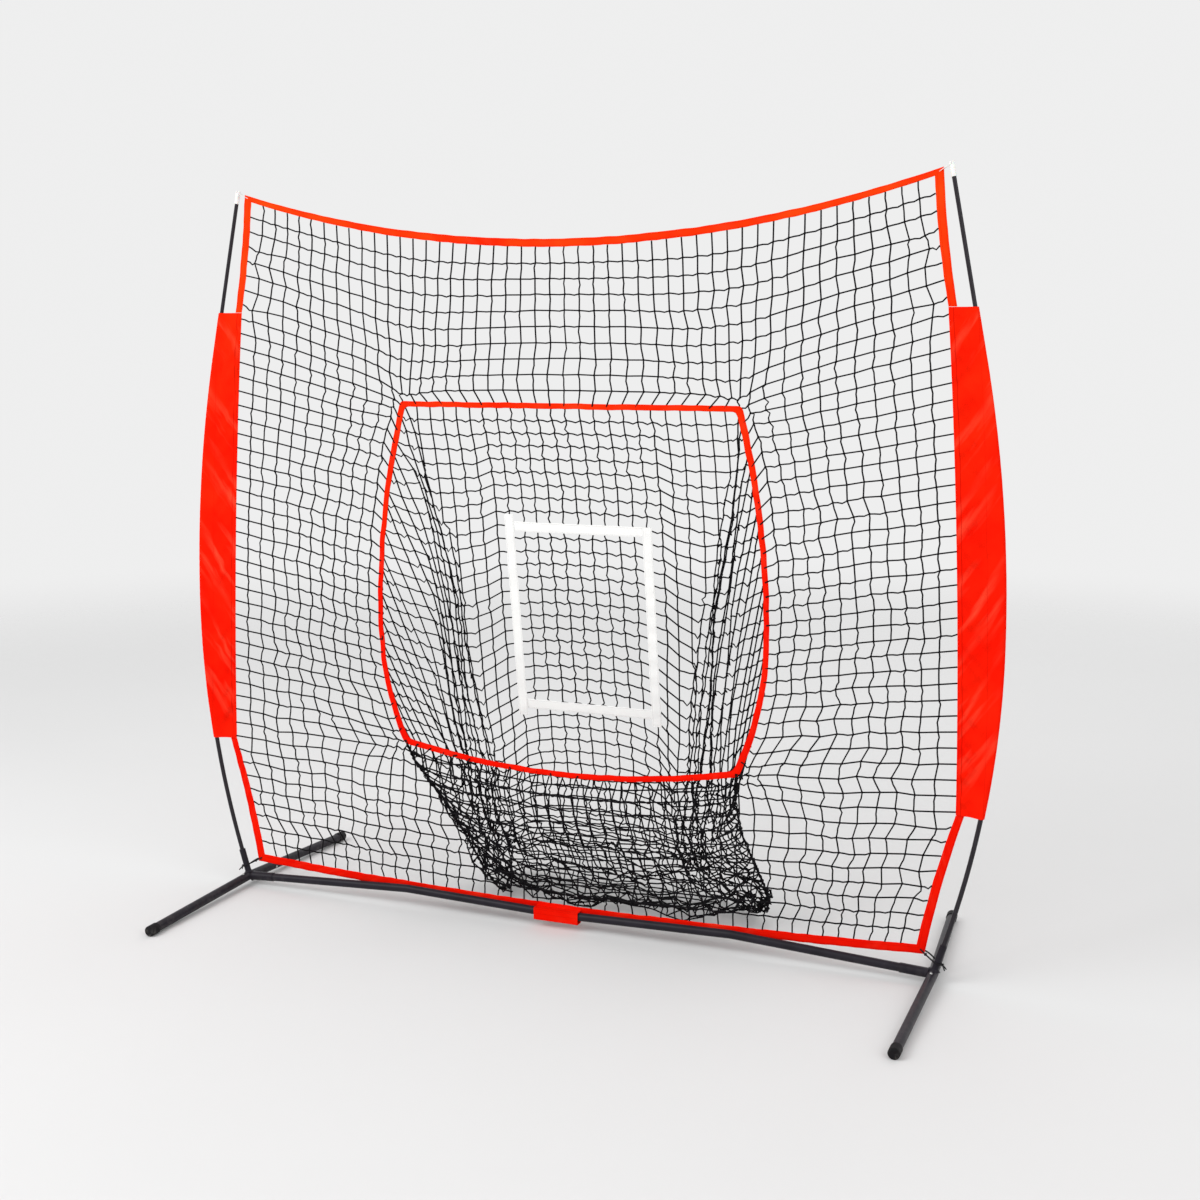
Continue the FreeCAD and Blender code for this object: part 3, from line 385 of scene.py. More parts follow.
class StageSizes(bpy.types.PropertyGroup):
    """Floor, light and the photograph's point of view"""

    eye: bpy.props.FloatVectorProperty(
        name="Eye", description="Where the camera stands",
        subtype="TRANSLATION", size=3, default=(1.785, -4.113, 1.681))
    turn: bpy.props.FloatProperty(
        name="Turn", description="Turn of the camera to the left",
        subtype="ANGLE", default=math.radians(22.06))
    dip: bpy.props.FloatProperty(
        name="Dip", description="How far the camera looks down",
        subtype="ANGLE", default=math.radians(9.02))
    lens: bpy.props.FloatProperty(
        name="Lens", description="Focal length in millimetres",
        default=48.31, min=10, max=200)
    floor: bpy.props.FloatVectorProperty(
        name="Floor", description="Colour of the floor",
        subtype="COLOR", size=4, min=0, max=1, default=(0.66, 0.66, 0.66, 1))
    sky: bpy.props.FloatProperty(
        name="Surrounding light", description="Strength of the light from all round",
        default=0.86, min=0, max=10)
    key: bpy.props.FloatProperty(
        name="Main light", description="Power of the main soft light",
        default=275, min=0, max=5000)
    fill: bpy.props.FloatProperty(
        name="Side light", description="Power of the side light",
        default=55, min=0, max=5000)


# Objects and meshes


def pick(piece):
    """Makes this piece the only selected and the active one."""
    bpy.ops.object.select_all(action="DESELECT")
    piece.select_set(True)
    bpy.context.view_layer.objects.active = piece


def new_piece(name, points, faces, finish, across=None):
    """Mesh object from points and faces, with an optional UV map given for each point."""
    mesh = bpy.data.meshes.new(name)
    mesh.from_pydata(np.asarray(points, float).tolist(), [], faces)
    if across is not None:
        layer = mesh.uv_layers.new(name="UVMap")
        corner = np.zeros(len(mesh.loops), np.int32)
        mesh.loops.foreach_get("vertex_index", corner)
        layer.data.foreach_set("uv", np.asarray(across, float)[corner].ravel())
    mesh.materials.append(finish)
    mesh.validate()
    piece = bpy.data.objects.new(name, mesh)
    bpy.context.scene.collection.objects.link(piece)
    pick(piece)
    bpy.ops.object.shade_smooth_by_angle(angle=math.radians(40))
    return piece


def place(piece, slot, *nodes, body="frame"):
    """Hands a finished piece to its body, in place of the plain solids."""
    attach(piece, body)
    if nodes:
        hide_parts(*nodes)
    return piece


def turn_outwards(piece):
    """Merges doubles and turns all faces outwards."""
    pick(piece)
    bpy.ops.object.mode_set(mode="EDIT")
    bpy.ops.mesh.select_all(action="SELECT")
    bpy.ops.mesh.remove_doubles(threshold=0.00002)
    bpy.ops.mesh.normals_make_consistent(inside=False)
    bpy.ops.object.mode_set(mode="OBJECT")


def thicken(piece, thickness, offset=0.0):
    """Gives a single sheet its thickness."""
    pick(piece)
    layer = piece.modifiers.new("Thickness", "SOLIDIFY")
    layer.thickness = thickness
    layer.offset = offset
    layer.use_even_offset = True
    bpy.ops.object.modifier_apply(modifier=layer.name)
    bpy.ops.object.shade_smooth_by_angle(angle=math.radians(40))


def grid_faces(rows, columns, ring=False):
    """Quads of a grid of points, closed round its rows where it is a ring."""
    faces = []
    for r in range(rows - 1):
        for c in range(columns if ring else columns - 1):
            d = (c + 1) % columns
            faces.append((r * columns + c, r * columns + d, (r + 1) * columns + d, (r + 1) * columns + c))
    return faces


# Curves in the net's plane


def net_y(z):
    """Depth of the net's plane at a height."""
    return SETBACK + math.tan(NET_LEAN) * (z - JOINT_Z)


def in_net(plan, proud=0.0):
    """Points of the net's plane from (x, z) pairs, moved to the back by proud."""
    plan = np.asarray(plan, float)
    return np.stack([plan[..., 0], net_y(plan[..., 1]) + proud, plan[..., 1]], -1)


def arc(start, end, swell, count):
    """Evenly spaced points from start to end along an arc that swells to the left of travel."""
    start = np.asarray(start, float)
    end = np.asarray(end, float)
    chord = end - start
    length = math.hypot(*chord)
    t = np.linspace(0, 1, count + 1)[:, None]
    if abs(swell) < 1e-7:
        return start + chord * t
    half = 2 * math.atan(2 * abs(swell) / length)
    radius = length / (2 * math.sin(half))
    angle = half * (2 * t - 1)
    along = chord / length
    left = np.array([-along[1], along[0]]) * math.copysign(1, swell)
    return (start + end) / 2 + along * radius * np.sin(angle) + left * radius * (np.cos(angle) - math.cos(half))


def upright_arc(apex, end, count):
    """Points of the arc that leaves the apex straight up or down and passes through the end."""
    rise = end[1] - apex[1]
    inward = apex[0] - end[0]
    radius = (rise * rise + inward * inward) / (2 * inward)
    angle = np.linspace(0, math.asin(rise / radius), count + 1)
    return np.stack([apex[0] - radius * (1 - np.cos(angle)), apex[1] + radius * np.sin(angle)], -1)


def run_along(line):
    """Length of the line up to each of its points."""
    return np.concatenate([[0], np.cumsum(np.linalg.norm(np.diff(line, axis=0), axis=1))])


def spaced(line, count):
    """The same line with count even steps."""
    line = np.asarray(line, float)
    run = run_along(line)
    at = np.linspace(0, run[-1], count + 1)
    return np.stack([np.interp(at, run, line[:, k]) for k in range(line.shape[1])], -1)


def side_line(corners, count):
    """Right-hand edge from the bottom corner to the top corner."""
    parts = [arc(a, b, s, 60) for a, b, s in zip(corners, corners[1:], SIDE_SWELLS)]
    return spaced(np.concatenate([parts[0], parts[1][1:], parts[2][1:]]), count)


def opening_side(count, outset=0.0):
    """Right-hand side of the opening from its bottom corner to its top corner."""
    wide = (OPENING_WIDE[0] + outset, OPENING_WIDE[1])
    low = upright_arc(wide, (OPENING_LOW[0] + outset, OPENING_LOW[1] - outset), 60)[::-1]
    high = upright_arc(wide, (OPENING_TOP[0] + outset, OPENING_TOP[1] + outset), 60)
    return spaced(np.concatenate([low, high[1:]]), count)


def flipped(plan):
    """The same points on the left-hand side."""
    plan = np.array(plan, float)
    plan[..., 0] *= -1
    return plan


def waves(points, pitch, seed, count=7):
    """Smooth random values between about -1 and 1 that repeat at about this pitch, along each axis."""
    rng = np.random.default_rng(seed)
    points = np.asarray(points, float)
    pitch = np.broadcast_to(np.asarray(pitch, float), points.shape[-1:])
    total = np.zeros(points.shape[:-1])
    for _ in range(count):
        turns = rng.normal(0, 1, points.shape[-1]) / pitch
        total += np.sin(points @ turns * 2 * math.pi + rng.uniform(0, 2 * math.pi))
    return total / math.sqrt(count)


# Twine


def twine_line(knots, mesh, down, rng, wild=0.0, slack=1.0):
    """Points of one twine through its knots: spare length between two knots hangs as a small wave."""
    knots = np.asarray(knots, float)
    step = np.diff(knots, axis=0)
    span = np.linalg.norm(step, axis=1)
    spare = np.clip(mesh - span, 0, mesh)
    depth = np.sqrt(SAG_SHARE * span * spare) * slack
    count = len(span)
    away = np.zeros((count, 3))
    if down:
        away[:, 2] = -1
    else:
        lean = rng.normal(0, 1, (count, 3))
        away = lean / np.linalg.norm(lean, axis=1)[:, None] * UPRIGHT_LEAN
    stray = rng.normal(0, 1, (count, 3))
    away = away * (1 - wild) + stray / np.linalg.norm(stray, axis=1)[:, None] * wild
    first = knots[:-1] + step / 3 + away * (depth * rng.uniform(*FIRST_THIRD, count))[:, None]
    second = knots[:-1] + step * 2 / 3 + away * (depth * rng.uniform(*SECOND_THIRD, count))[:, None]
    line = np.empty((3 * count + 1, 3))
    line[0::3] = knots
    line[1::3] = first
    line[2::3] = second
    return line


def strands(name, lines, radius, fineness, closed=False):
    """Round strands along the lines, as one mesh object."""
    curve = bpy.data.curves.new(name, "CURVE")
    curve.dimensions = "3D"
    curve.bevel_depth = radius
    curve.bevel_resolution = fineness
    curve.use_fill_caps = True
    for line in lines:
        spline = curve.splines.new("POLY")
        spline.points.add(len(line) - 1)
        spline.points.foreach_set("co", np.c_[line, np.ones(len(line))].ravel())
        spline.use_cyclic_u = closed
    piece = bpy.data.objects.new(name, curve)
    bpy.context.scene.collection.objects.link(piece)
    pick(piece)
    bpy.ops.object.convert(target="MESH")
    return bpy.context.view_layer.objects.active


def netting_piece(name, lines, knots, sizes, finish):
    """Twines as round strands with a knot at each crossing, in one mesh."""
    piece = strands(name, lines, sizes.twine, 1)
    piece.data.materials.clear()
    piece.data.materials.append(finish)
    if len(knots):
        balls = knot_balls(name, knots, sizes, finish)
        pick(piece)
        balls.select_set(True)
        bpy.ops.object.join()
    pick(piece)
    bpy.ops.object.shade_smooth()
    piece.data.name = name
    return piece


def knot_balls(name, knots, sizes, finish):
    """A small slanting knot at each point."""
    bpy.ops.object.select_all(action="DESELECT")
    bpy.ops.mesh.primitive_ico_sphere_add(subdivisions=1, radius=1)
    ball = bpy.context.view_layer.objects.active
    shape = np.array([v.co for v in ball.data.vertices])
    sides = np.array([tuple(p.vertices) for p in ball.data.polygons])
    bpy.data.objects.remove(ball)
    shape = shape * (sizes.knot * np.array(KNOT_SHAPE)) @ np.array(KNOT_SLANT)
    points = (np.asarray(knots)[:, None, :] + shape[None]).reshape(-1, 3)
    faces = (sides[None] + (np.arange(len(knots)) * len(shape))[:, None, None]).reshape(-1, 3)
    return new_piece(name + ".knots", points, faces.tolist(), finish)


# Flat net


def net_knots(sizes):
    """Place of each knot of the flat net, as rows by columns of (x, z)."""
    plan = np.zeros((ROWS + 1, COLUMNS + 1, 2))
    right = side_line(INNER_CORNERS, ROWS)
    top = arc(INNER_CORNERS[3], (-INNER_CORNERS[3][0], INNER_CORNERS[3][1]), TOP_SAG, COLUMNS)[::-1]
    bottom = arc((-INNER_CORNERS[0][0], INNER_CORNERS[0][1]), INNER_CORNERS[0], -BOTTOM_SAG, COLUMNS)
    left = flipped(right)
    share = np.linspace(0, 1, COLUMNS + 1)[None, :, None]
    plan[:] = left[:, None] * (1 - share) + right[:, None] * share
    held = np.zeros((ROWS + 1, COLUMNS + 1), bool)
    for line, spot in ((right, np.s_[:, -1]), (left, np.s_[:, 0]), (top, np.s_[-1, :]), (bottom, np.s_[0, :])):
        plan[spot] = line
        held[spot] = True
    a, b = OPENING_COLUMNS
    low, high = OPENING_ROWS
    edge = opening_side(high - low)
    level = np.linspace(0, 1, b - a + 1)[:, None]
    upper = np.array((-OPENING_TOP[0], OPENING_TOP[1])) * (1 - level) + np.array(OPENING_TOP) * level
    lower = arc((-OPENING_LOW[0], OPENING_LOW[1]), OPENING_LOW, -OPENING_SAG, b - a)
    held[low:high + 1, a:b + 1] = True
    plan[low:high + 1, b] = edge
    plan[low:high + 1, a] = flipped(edge)
    plan[high, a:b + 1] = upper
    plan[low, a:b + 1] = lower
    free = ~held[1:-1, 1:-1, None]
    for _ in range(EVENING_PASSES):
        even = (plan[:-2, 1:-1] + plan[2:, 1:-1] + plan[1:-1, :-2] + plan[1:-1, 2:]) / 4
        plan[1:-1, 1:-1] = np.where(free, even, plan[1:-1, 1:-1])
    return stray_knots(plan, held, sizes)


def stray_knots(plan, held, sizes):
    """Lets the free knots drift, in step along each twine and more near the opening's corners."""
    meshes_in = np.zeros(held.shape)
    clear = ~held
    for _ in range(EASE_MESHES + 1):
        meshes_in += clear
        inner = clear.copy()
        inner[1:-1, 1:-1] &= clear[:-2, 1:-1] & clear[2:, 1:-1] & clear[1:-1, :-2] & clear[1:-1, 2:]
        clear = inner
    ease = np.clip(meshes_in / EASE_MESHES, 0, 1)[..., None]
    corners = [(s * x, z) for s in (-1, 1) for x, z in (OPENING_TOP, OPENING_LOW)]
    near = np.zeros(held.shape)
    for c in corners:
        near += np.exp(-np.sum((plan - c) ** 2, -1) / CORNER_REACH ** 2)
    rng = np.random.default_rng(sizes.seed)
    unrest = np.interp(plan[..., 1], UNREST_HEIGHTS, UNREST_THERE)[..., None]
    shift = np.stack([waves(plan, DRIFT_ALONG, sizes.seed + 1) * sizes.drift,
                      waves(plan, DRIFT_UP, sizes.seed + 2) * sizes.drift * DRIFT_UP_SHARE], -1) * unrest
    shift += rng.normal(0, KNOT_STRAY, plan.shape) * unrest
    shift += rng.normal(0, CORNER_KNOT_STRAY, plan.shape) * near[..., None]
    shift[..., 0] += sizes.zigzag * unrest[..., 0] * (-1.0) ** np.arange(len(plan))[:, None]
    plan = plan + shift * ease
    for centre, reach, strength in pulls(sizes):
        towards = np.array(centre) - plan
        pull = strength * np.exp(-np.sum((towards / reach) ** 2, -1))
        plan = plan + towards * (pull * ~held)[..., None]
    return plan


def pulls(sizes):
    """Where the netting is drawn in: the place, how far round it, and how strongly."""
    edge = side_line(INNER_CORNERS, 80)
    found = []
    for side in (-1, 1):
        for (x, z), corner_pulls in ((OPENING_TOP, TOP_CORNER_PULLS), (OPENING_LOW, (LOW_CORNER_PULL,))):
            found += [((side * x, z), reach, sizes.pinch * share) for reach, share in corner_pulls]
        for height in SNAG_HEIGHTS:
            found.append(((side * np.interp(height, edge[:, 1], edge[:, 0]), height), *SNAG_PULL))
    return found


def flat_net(sizes, finish):
    """The four panels of the flat net."""
    plan = net_knots(sizes)
    knots = in_net(plan)
    knots[..., 1] += waves(plan, BILLOW_LENGTHS, sizes.seed + 3) * BILLOW
    rng = np.random.default_rng(sizes.seed + 4)
    a, b = OPENING_COLUMNS
    low, high = OPENING_ROWS
    panels = {
        "netting_below_pocket": [], "netting_above_pocket": [],
        "netting_left_of_pocket": [], "netting_right_of_pocket": [],
    }
    ties = {name: [] for name in panels}
    names = list(panels)
    for j in range(1, ROWS):
        if j <= low or j >= high:
            panel = names[0] if j <= low else names[1]
            spans = [(0, COLUMNS, panel)] if j not in (low, high) else [(0, a, panel), (b, COLUMNS, panel)]
        else:
            spans = [(0, a, names[2]), (b, COLUMNS, names[3])]
        for first, last, panel in spans:
            panels[panel].append(twine_line(knots[j, first:last + 1], sizes.mesh, True, rng, slack=NET_LEVEL_SAG))
            ties[panel] += [knots[j, i] for i in range(first + 1, last)]
    for i in range(1, COLUMNS):
        spans = [(0, low, names[0]), (high, ROWS, names[1])]
        if i < a:
            spans.append((low, high, names[2]))
        if i > b:
            spans.append((low, high, names[3]))
        for first, last, panel in spans:
            panels[panel].append(twine_line(knots[first:last + 1, i], sizes.mesh, False, rng, slack=NET_UPRIGHT_SAG))
    for name in names:
        piece = netting_piece(name, panels[name], ties[name], sizes, finish)
        place(piece, "netting_black", name.replace("netting", "net"))


# Pocket


def back_y(z):
    """Depth of the straight part of the pocket's back at a height."""
    return BACK_LOW_Y - BACK_SLOPE * (z - BACK_LOW_Z)


def pocket_half(row):
    """Meshes from the middle of the pocket's netting to its cut edge, at a row from the top."""
    if row <= POCKET_SIDE_ROWS:
        return POCKET_HALF + int(POCKET_SPREAD * (row / POCKET_SIDE_ROWS) ** 0.8)
    rest = (POCKET_ROWS - row) / (POCKET_ROWS - POCKET_SIDE_ROWS)
    return POCKET_HALF + int(POCKET_SPREAD * rest ** 2.4)


# Middle line of the hanging pocket from the top binding round to the lower one:
# depth, height, and how far its left and right folds stand from the middle.
POCKET_LINE = (
    (0.0257, 1.511, 0.508, 0.508),
    (0.0700, 1.400, 0.490, 0.492),
    (0.1052, 1.250, 0.462, 0.466),
    (0.1384, 1.040, 0.432, 0.430),
    (0.1953, 0.680, 0.415, 0.380),
    (0.2316, 0.450, 0.392, 0.362),
    (0.2950, 0.250, 0.374, 0.290),
    (0.3900, 0.100, 0.350, 0.260),
    (0.4350, 0.012, 0.345, 0.330),
    (0.3600, 0.006, 0.310, 0.420),
    (0.2700, 0.006, 0.285, 0.500),
    (0.1900, 0.006, 0.262, 0.530),
    (0.1500, 0.050, 0.280, 0.540),
    (0.0900, 0.180, 0.345, 0.540),
    (0.0650, 0.300, 0.425, 0.530),
    (0.0450, 0.380, 0.470, 0.520),
    (0.0185, 0.458, 0.514, 0.514),
)


# Below the opening each side of the netting is laced to itself, from the opening's corner down to the ground.
LEFT_LACING = (
    (-0.514, 0.018, 0.508), (-0.500, 0.045, 0.440), (-0.447, 0.090, 0.343), (-0.375, 0.108, 0.225),
    (-0.305, 0.120, 0.100), (-0.278, 0.160, 0.035), (-0.262, 0.215, 0.008),
)
RIGHT_LACING = (
    (0.514, 0.018, 0.508), (0.506, 0.050, 0.420), (0.516, 0.080, 0.320), (0.543, 0.110, 0.235),
    (0.562, 0.160, 0.150), (0.556, 0.220, 0.085), (0.530, 0.300, 0.022),
)


LACING_STEPS = 40
LACING_TURN = 2.4
LACING_RADIUS = 0.004
LOWEST_TWINE = 0.0015

# How wildly the slack of the pocket's twines bends: in twines across, more and more from WILD_ROWS down,
# and in upright ones
WILD_ROWS = 20
WILD_MOST = 0.75
WILD_FRONT = 0.3
WILD_SIDE = 0.4
WILD_UPRIGHT = {"left": 0.3, "right": 0.3, "back": 0.15, "floor": 0.7, "front": 0.15}


def pocket_middle():
    """The middle line at each row: rows lie closer together where the foot is crumpled on the ground."""
    line = np.array(POCKET_LINE)
    run = run_along(line[:, :2])
    at = np.interp(np.arange(POCKET_ROWS + 1), (0, *CRUMPLED_ROWS, POCKET_ROWS), (0, run[6], run[12], run[-1]))
    return np.stack([np.interp(at, run, line[:, k]) for k in range(4)], -1)


def pocket_ends():
    """Where each row's left and right ends are held: by the binding, and below it by the lacing."""
    right = opening_side(POCKET_SIDE_ROWS)[::-1]
    ends = []
    for edge, lacing in ((flipped(right), LEFT_LACING), (right, RIGHT_LACING)):
        below = POCKET_ROWS - POCKET_SIDE_ROWS
        points = spaced(lacing, below // 2 + 1)
        laced = [points[min(j, below - j)] for j in range(1, below + 1)]
        ends.append(np.vstack([in_net(edge, EDGE_SETBACK), laced]))
    return ends


def share_out(cells, centre, fold, side, end, mesh, bunch):
    """Shares the meshes of half a row out: the fold's inner and outer edge, the meshes on the back, the spare ones."""
    broad = 0.0
    for _ in range(3):
        inner = fold - (side * broad / 2, 0, 0)
        outer = fold + (side * broad / 2, 0, 0)
        level_cells = abs(inner[0] - centre[0]) / (mesh * BACK_TAUT)
        side_cells = np.linalg.norm(end - outer) / (mesh * SIDE_TAUT)
        spare = cells - side_cells - level_cells
        broad = bunch * max(spare, 0.0)
    if spare < 0:
        level_cells *= cells / (side_cells + level_cells)
    return inner, outer, level_cells, max(spare, 0.0)


def pocket_start(netting, sizes):
    """First guess at each knot of the pocket, with the spare meshes gathered in the folds, and how firmly it stays."""
    middle = pocket_middle()
    left_ends, right_ends = pocket_ends()
    width = POCKET_HALF + POCKET_SPREAD
    knots = np.full((POCKET_ROWS + 1, 2 * width + 1, 3), np.nan)
    firm = np.zeros(knots.shape[:2])
    rng = np.random.default_rng(sizes.seed)
    places = rng.uniform(-0.5, 0.5, (2, width + 1, 3))
    phases = rng.uniform(0, 2 * math.pi, (2, width + 1))
    for row in range(POCKET_ROWS + 1):
        y, z, left_fold, right_fold = middle[row]
        drop = sizes.droop * min(row, DROOP_ROWS) * np.clip((z - 0.05) / 0.5, 0, 1)
        cells = pocket_half(row)
        low_down = float(np.clip((row - FLOOR_ROWS + ASIDE_ROWS) / ASIDE_ROWS, 0, 1))
        aside = (left_ends[row][0] + right_ends[row][0]) / 2 * low_down
        centre = np.array([aside, y, z])
        pleated = float(np.clip((FLOOR_ROWS - row) / PLEAT_FADE_ROWS, 0, 1))
        for s, (side, fold_x, end) in enumerate(((-1, -left_fold, left_ends[row]), (1, right_fold, right_ends[row]))):
            fold = np.array([fold_x, y, max(z - drop, GROUND_Z)]) if row < FLOOR_ROWS else end
            inner, outer, level_cells, spare = share_out(cells, centre, fold, side, end, netting.mesh,
                                                         sizes.bunch * pleated)
            gathered = spare * pleated
            side_cells = cells - level_cells - gathered
            tangle = netting.mesh * (LOW_TANGLE if row >= CRUMPLED_ROWS[1] else TANGLE)
            tangle *= math.sqrt((spare - gathered) / cells)
            for k in range(cells + 1):
                if k <= level_cells:
                    t = k / max(level_cells, 1)
                    point = centre + (inner - centre) * np.array([t, t, t ** 3])
                    point = point + rng.normal(0, 1, 3) * tangle
                    stay = STAY_BACK if abs(fold_x) * t < STILL_BACK_HALF else STAY_EDGE
                elif k <= level_cells + gathered:
                    part = (k - level_cells) / gathered
                    sway = math.sin(row * PLEAT_TURN + phases[s, k]) * PLEAT_SWAY
                    point = inner + (outer - inner) * part + (sway, PLEAT_DEPTH * (-1) ** k, 0)
                    point = point + places[s, k] * PLEAT_STRAY
                    stay = STAY_FOLD
                else:
                    t = (cells - k) / max(side_cells, 1)
                    point = end + (outer - end) * t
                    point = point + rng.normal(0, 1, 3) * tangle * min(1, 4 * t)
                    stay = STAY_SIDE if row <= POCKET_SIDE_ROWS else STAY_LOW_SIDE
                if CRUMPLED_ROWS[0] + 4 < row < CRUMPLED_ROWS[1]:
                    point = point + rng.normal(0, 1, 3) * CRUMPLE_STRAY
                    point[2] += abs(rng.normal(0, CRUMPLE_RISE))
                knots[row, width + side * k] = point
                firm[row, width + side * k] = stay
    return knots, firm, left_ends, right_ends


def pocket_knots(netting, sizes):
    """Lets the hung pocket settle: twines pull when taut, gravity pulls down, and the ground stops it."""
    knots, firm, left_ends, right_ends = pocket_start(netting, sizes)
    rows, columns = firm.shape
    width = columns // 2
    there = ~np.isnan(knots[..., 0])
    knots = np.where(there[..., None], knots, 0.0)
    free = there.copy()
    top = in_net(np.array((-OPENING_TOP[0], OPENING_TOP[1])) + np.linspace(0, 1, 2 * POCKET_HALF + 1)[:, None]
                 * np.array((2 * OPENING_TOP[0], 0)), EDGE_SETBACK)
    bottom = in_net(arc((-OPENING_LOW[0], OPENING_LOW[1]), OPENING_LOW, -OPENING_SAG, 2 * POCKET_HALF), EDGE_SETBACK)
    middle = np.s_[width - POCKET_HALF:width + POCKET_HALF + 1]
    knots[0, middle] = top
    knots[-1, middle] = bottom
    free[0] = free[-1] = False
    for row in range(rows):
        half = pocket_half(row)
        knots[row, width - half] = left_ends[row]
        knots[row, width + half] = right_ends[row]
        free[row, width - half] = free[row, width + half] = False
    rng = np.random.default_rng(sizes.seed + 1)
    mobile = free.astype(float)
    start = knots.copy()
    knots += rng.normal(0, FIRST_STRAY, knots.shape) * mobile[..., None]
    guide = (firm * mobile)[..., None]
    places = np.stack(np.meshgrid(np.arange(columns), np.arange(rows)), -1)
    heap = HEAP_LEAST + HEAP_MORE * np.abs(waves(places, HEAP_MESHES, sizes.seed + 2))
    on_back = (firm == STAY_BACK) & (start[..., 2] > STRAIGHT_BACK[0]) & (start[..., 2] < STRAIGHT_BACK[1])
    was = knots.copy()
    links = [(np.s_[:, p:-1:2], np.s_[:, p + 1::2]) for p in (0, 1)]
    links += [(np.s_[p:-1:2, :], np.s_[p + 1::2, :]) for p in (0, 1)]
    bent = [(np.s_[p:-1:2, q:-1:2], np.s_[p + 1::2, q + 1::2]) for p in (0, 1) for q in (0, 1)]
    bent += [(np.s_[p:-1:2, q + 1::2], np.s_[p + 1::2, q:-1:2]) for p in (0, 1) for q in (0, 1)]
    link_least, link_most = [netting.mesh * share for share in LINK_REACH]
    across_least, across_most = [netting.mesh * share for share in ACROSS_REACH]
    for _ in range(sizes.steps):
        speed = (knots - was) * KEPT_SPEED
        was = knots.copy()
        knots = knots + speed * mobile[..., None]
        knots[..., 2] -= FALL * mobile
        for _ in range(sizes.passes):
            for first, second in links:
                keep_apart(knots, mobile, there, first, second, link_least, link_most)
        for first, second in bent:
            keep_apart(knots, mobile, there, first, second, across_least, across_most)
        target = start.copy()
        target[..., 1] = np.where(on_back, back_y(knots[..., 2]) + EDGE_SETBACK, start[..., 1])
        knots += (target - knots) * guide
        behind = net_y(knots[..., 2]) + BEHIND_NET
        knots[..., 1] = np.where(mobile > 0, np.clip(knots[..., 1], behind, DEEPEST_Y), knots[..., 1])
        grounded = (knots[..., 2] < heap) & (mobile > 0)
        knots[..., 2] = np.where(grounded, heap, knots[..., 2])
        slid = was[..., :2] + (knots[..., :2] - was[..., :2]) * GROUND_SLIP
        knots[..., :2] = np.where(grounded[..., None], slid, knots[..., :2])
    return knots, there


def keep_apart(knots, mobile, there, first, second, least, most):
    """Moves linked knots so that each pair is between least and most apart."""
    gap = knots[second] - knots[first]
    far = np.sqrt(np.sum(gap * gap, -1)) + 1e-9
    both = there[first] & there[second]
    over = np.where(far > most, far - most, np.where(far < least, (far - least) * PUSH_SHARE, 0.0)) * both
    a = mobile[first]
    b = mobile[second]
    pull = over / far / np.maximum(a + b, 1.0)
    knots[first] += gap * (pull * a)[..., None]
    knots[second] -= gap * (pull * b)[..., None]


def hang_pocket(netting, sizes, finish):
    """The pocket's netting in five pieces."""
    knots, there = pocket_knots(netting, sizes)
    width = knots.shape[1] // 2
    left = width - BACK_HALF_COLUMNS
    right = width + BACK_HALF_COLUMNS
    rng = np.random.default_rng(sizes.seed + 3)
    lines = {"left": [], "right": [], "back": [], "floor": [], "front": []}
    ties = {name: [] for name in lines}

    def region(row):
        """Piece that the middle of a row belongs to."""
        return "back" if row <= BACK_ROWS else "floor" if row <= FLOOR_ROWS else "front"

    for row in range(1, POCKET_ROWS):
        half = pocket_half(row)
        wild = WILD_FRONT if row > CRUMPLED_ROWS[1] else min(max(row - WILD_ROWS, 0) / WILD_ROWS, WILD_MOST)
        spans = (("left", width - half, left), (region(row), left, right), ("right", right, width + half))
        for name, first, last in spans:
            if last > first:
                loose = wild if name in ("back", "floor", "front") else WILD_SIDE
                lines[name].append(twine_line(knots[row, first:last + 1], netting.mesh, True, rng, loose))
        for i in range(width - half + 1, width + half):
            ties["left" if i < left else "right" if i > right else region(row)].append(knots[row, i])
    for i in range(1, 2 * width):
        rows = np.nonzero(there[:, i])[0]
        if i < left or i > right:
            spans = (("left" if i < left else "right", rows[0], rows[-1]),)
        else:
            spans = (("back", rows[0], BACK_ROWS), ("floor", BACK_ROWS, FLOOR_ROWS), ("front", FLOOR_ROWS, rows[-1]))
        for name, first, last in spans:
            lines[name].append(twine_line(knots[first:last + 1, i], netting.mesh, False, rng, WILD_UPRIGHT[name]))
    for name, lacing in (("left", LEFT_LACING), ("right", RIGHT_LACING)):
        laced = spaced(lacing, LACING_STEPS)
        turns = np.arange(LACING_STEPS + 1) * LACING_TURN
        for part in range(2):
            swing = np.stack([np.cos(turns + math.pi * part), np.sin(turns + math.pi * part), 0 * turns], 1)
            lines[name].append(laced + swing * LACING_RADIUS)
    for name in lines:
        for line in lines[name]:
            line[:, 2] = np.maximum(line[:, 2], LOWEST_TWINE)
        node = "pocket_side_" + name if name in ("left", "right") else "pocket_" + name
        piece = netting_piece(node.replace("pocket", "pocket_netting"), lines[name], ties[name], netting, finish)
        place(piece, "netting_black", node)


# Tapes and binding

# Half of a folded tape's cross-section: place between its outer and inner edge, and thickness there.
FOLDED_TAPE = ((0.0, 0.0), (0.02, 0.5), (0.06, 0.86), (0.13, 1.0), (0.3, 0.97), (0.6, 0.97), (0.74, 1.0),
               (0.80, 0.74), (0.86, 0.98), (0.95, 0.9), (0.995, 0.55))
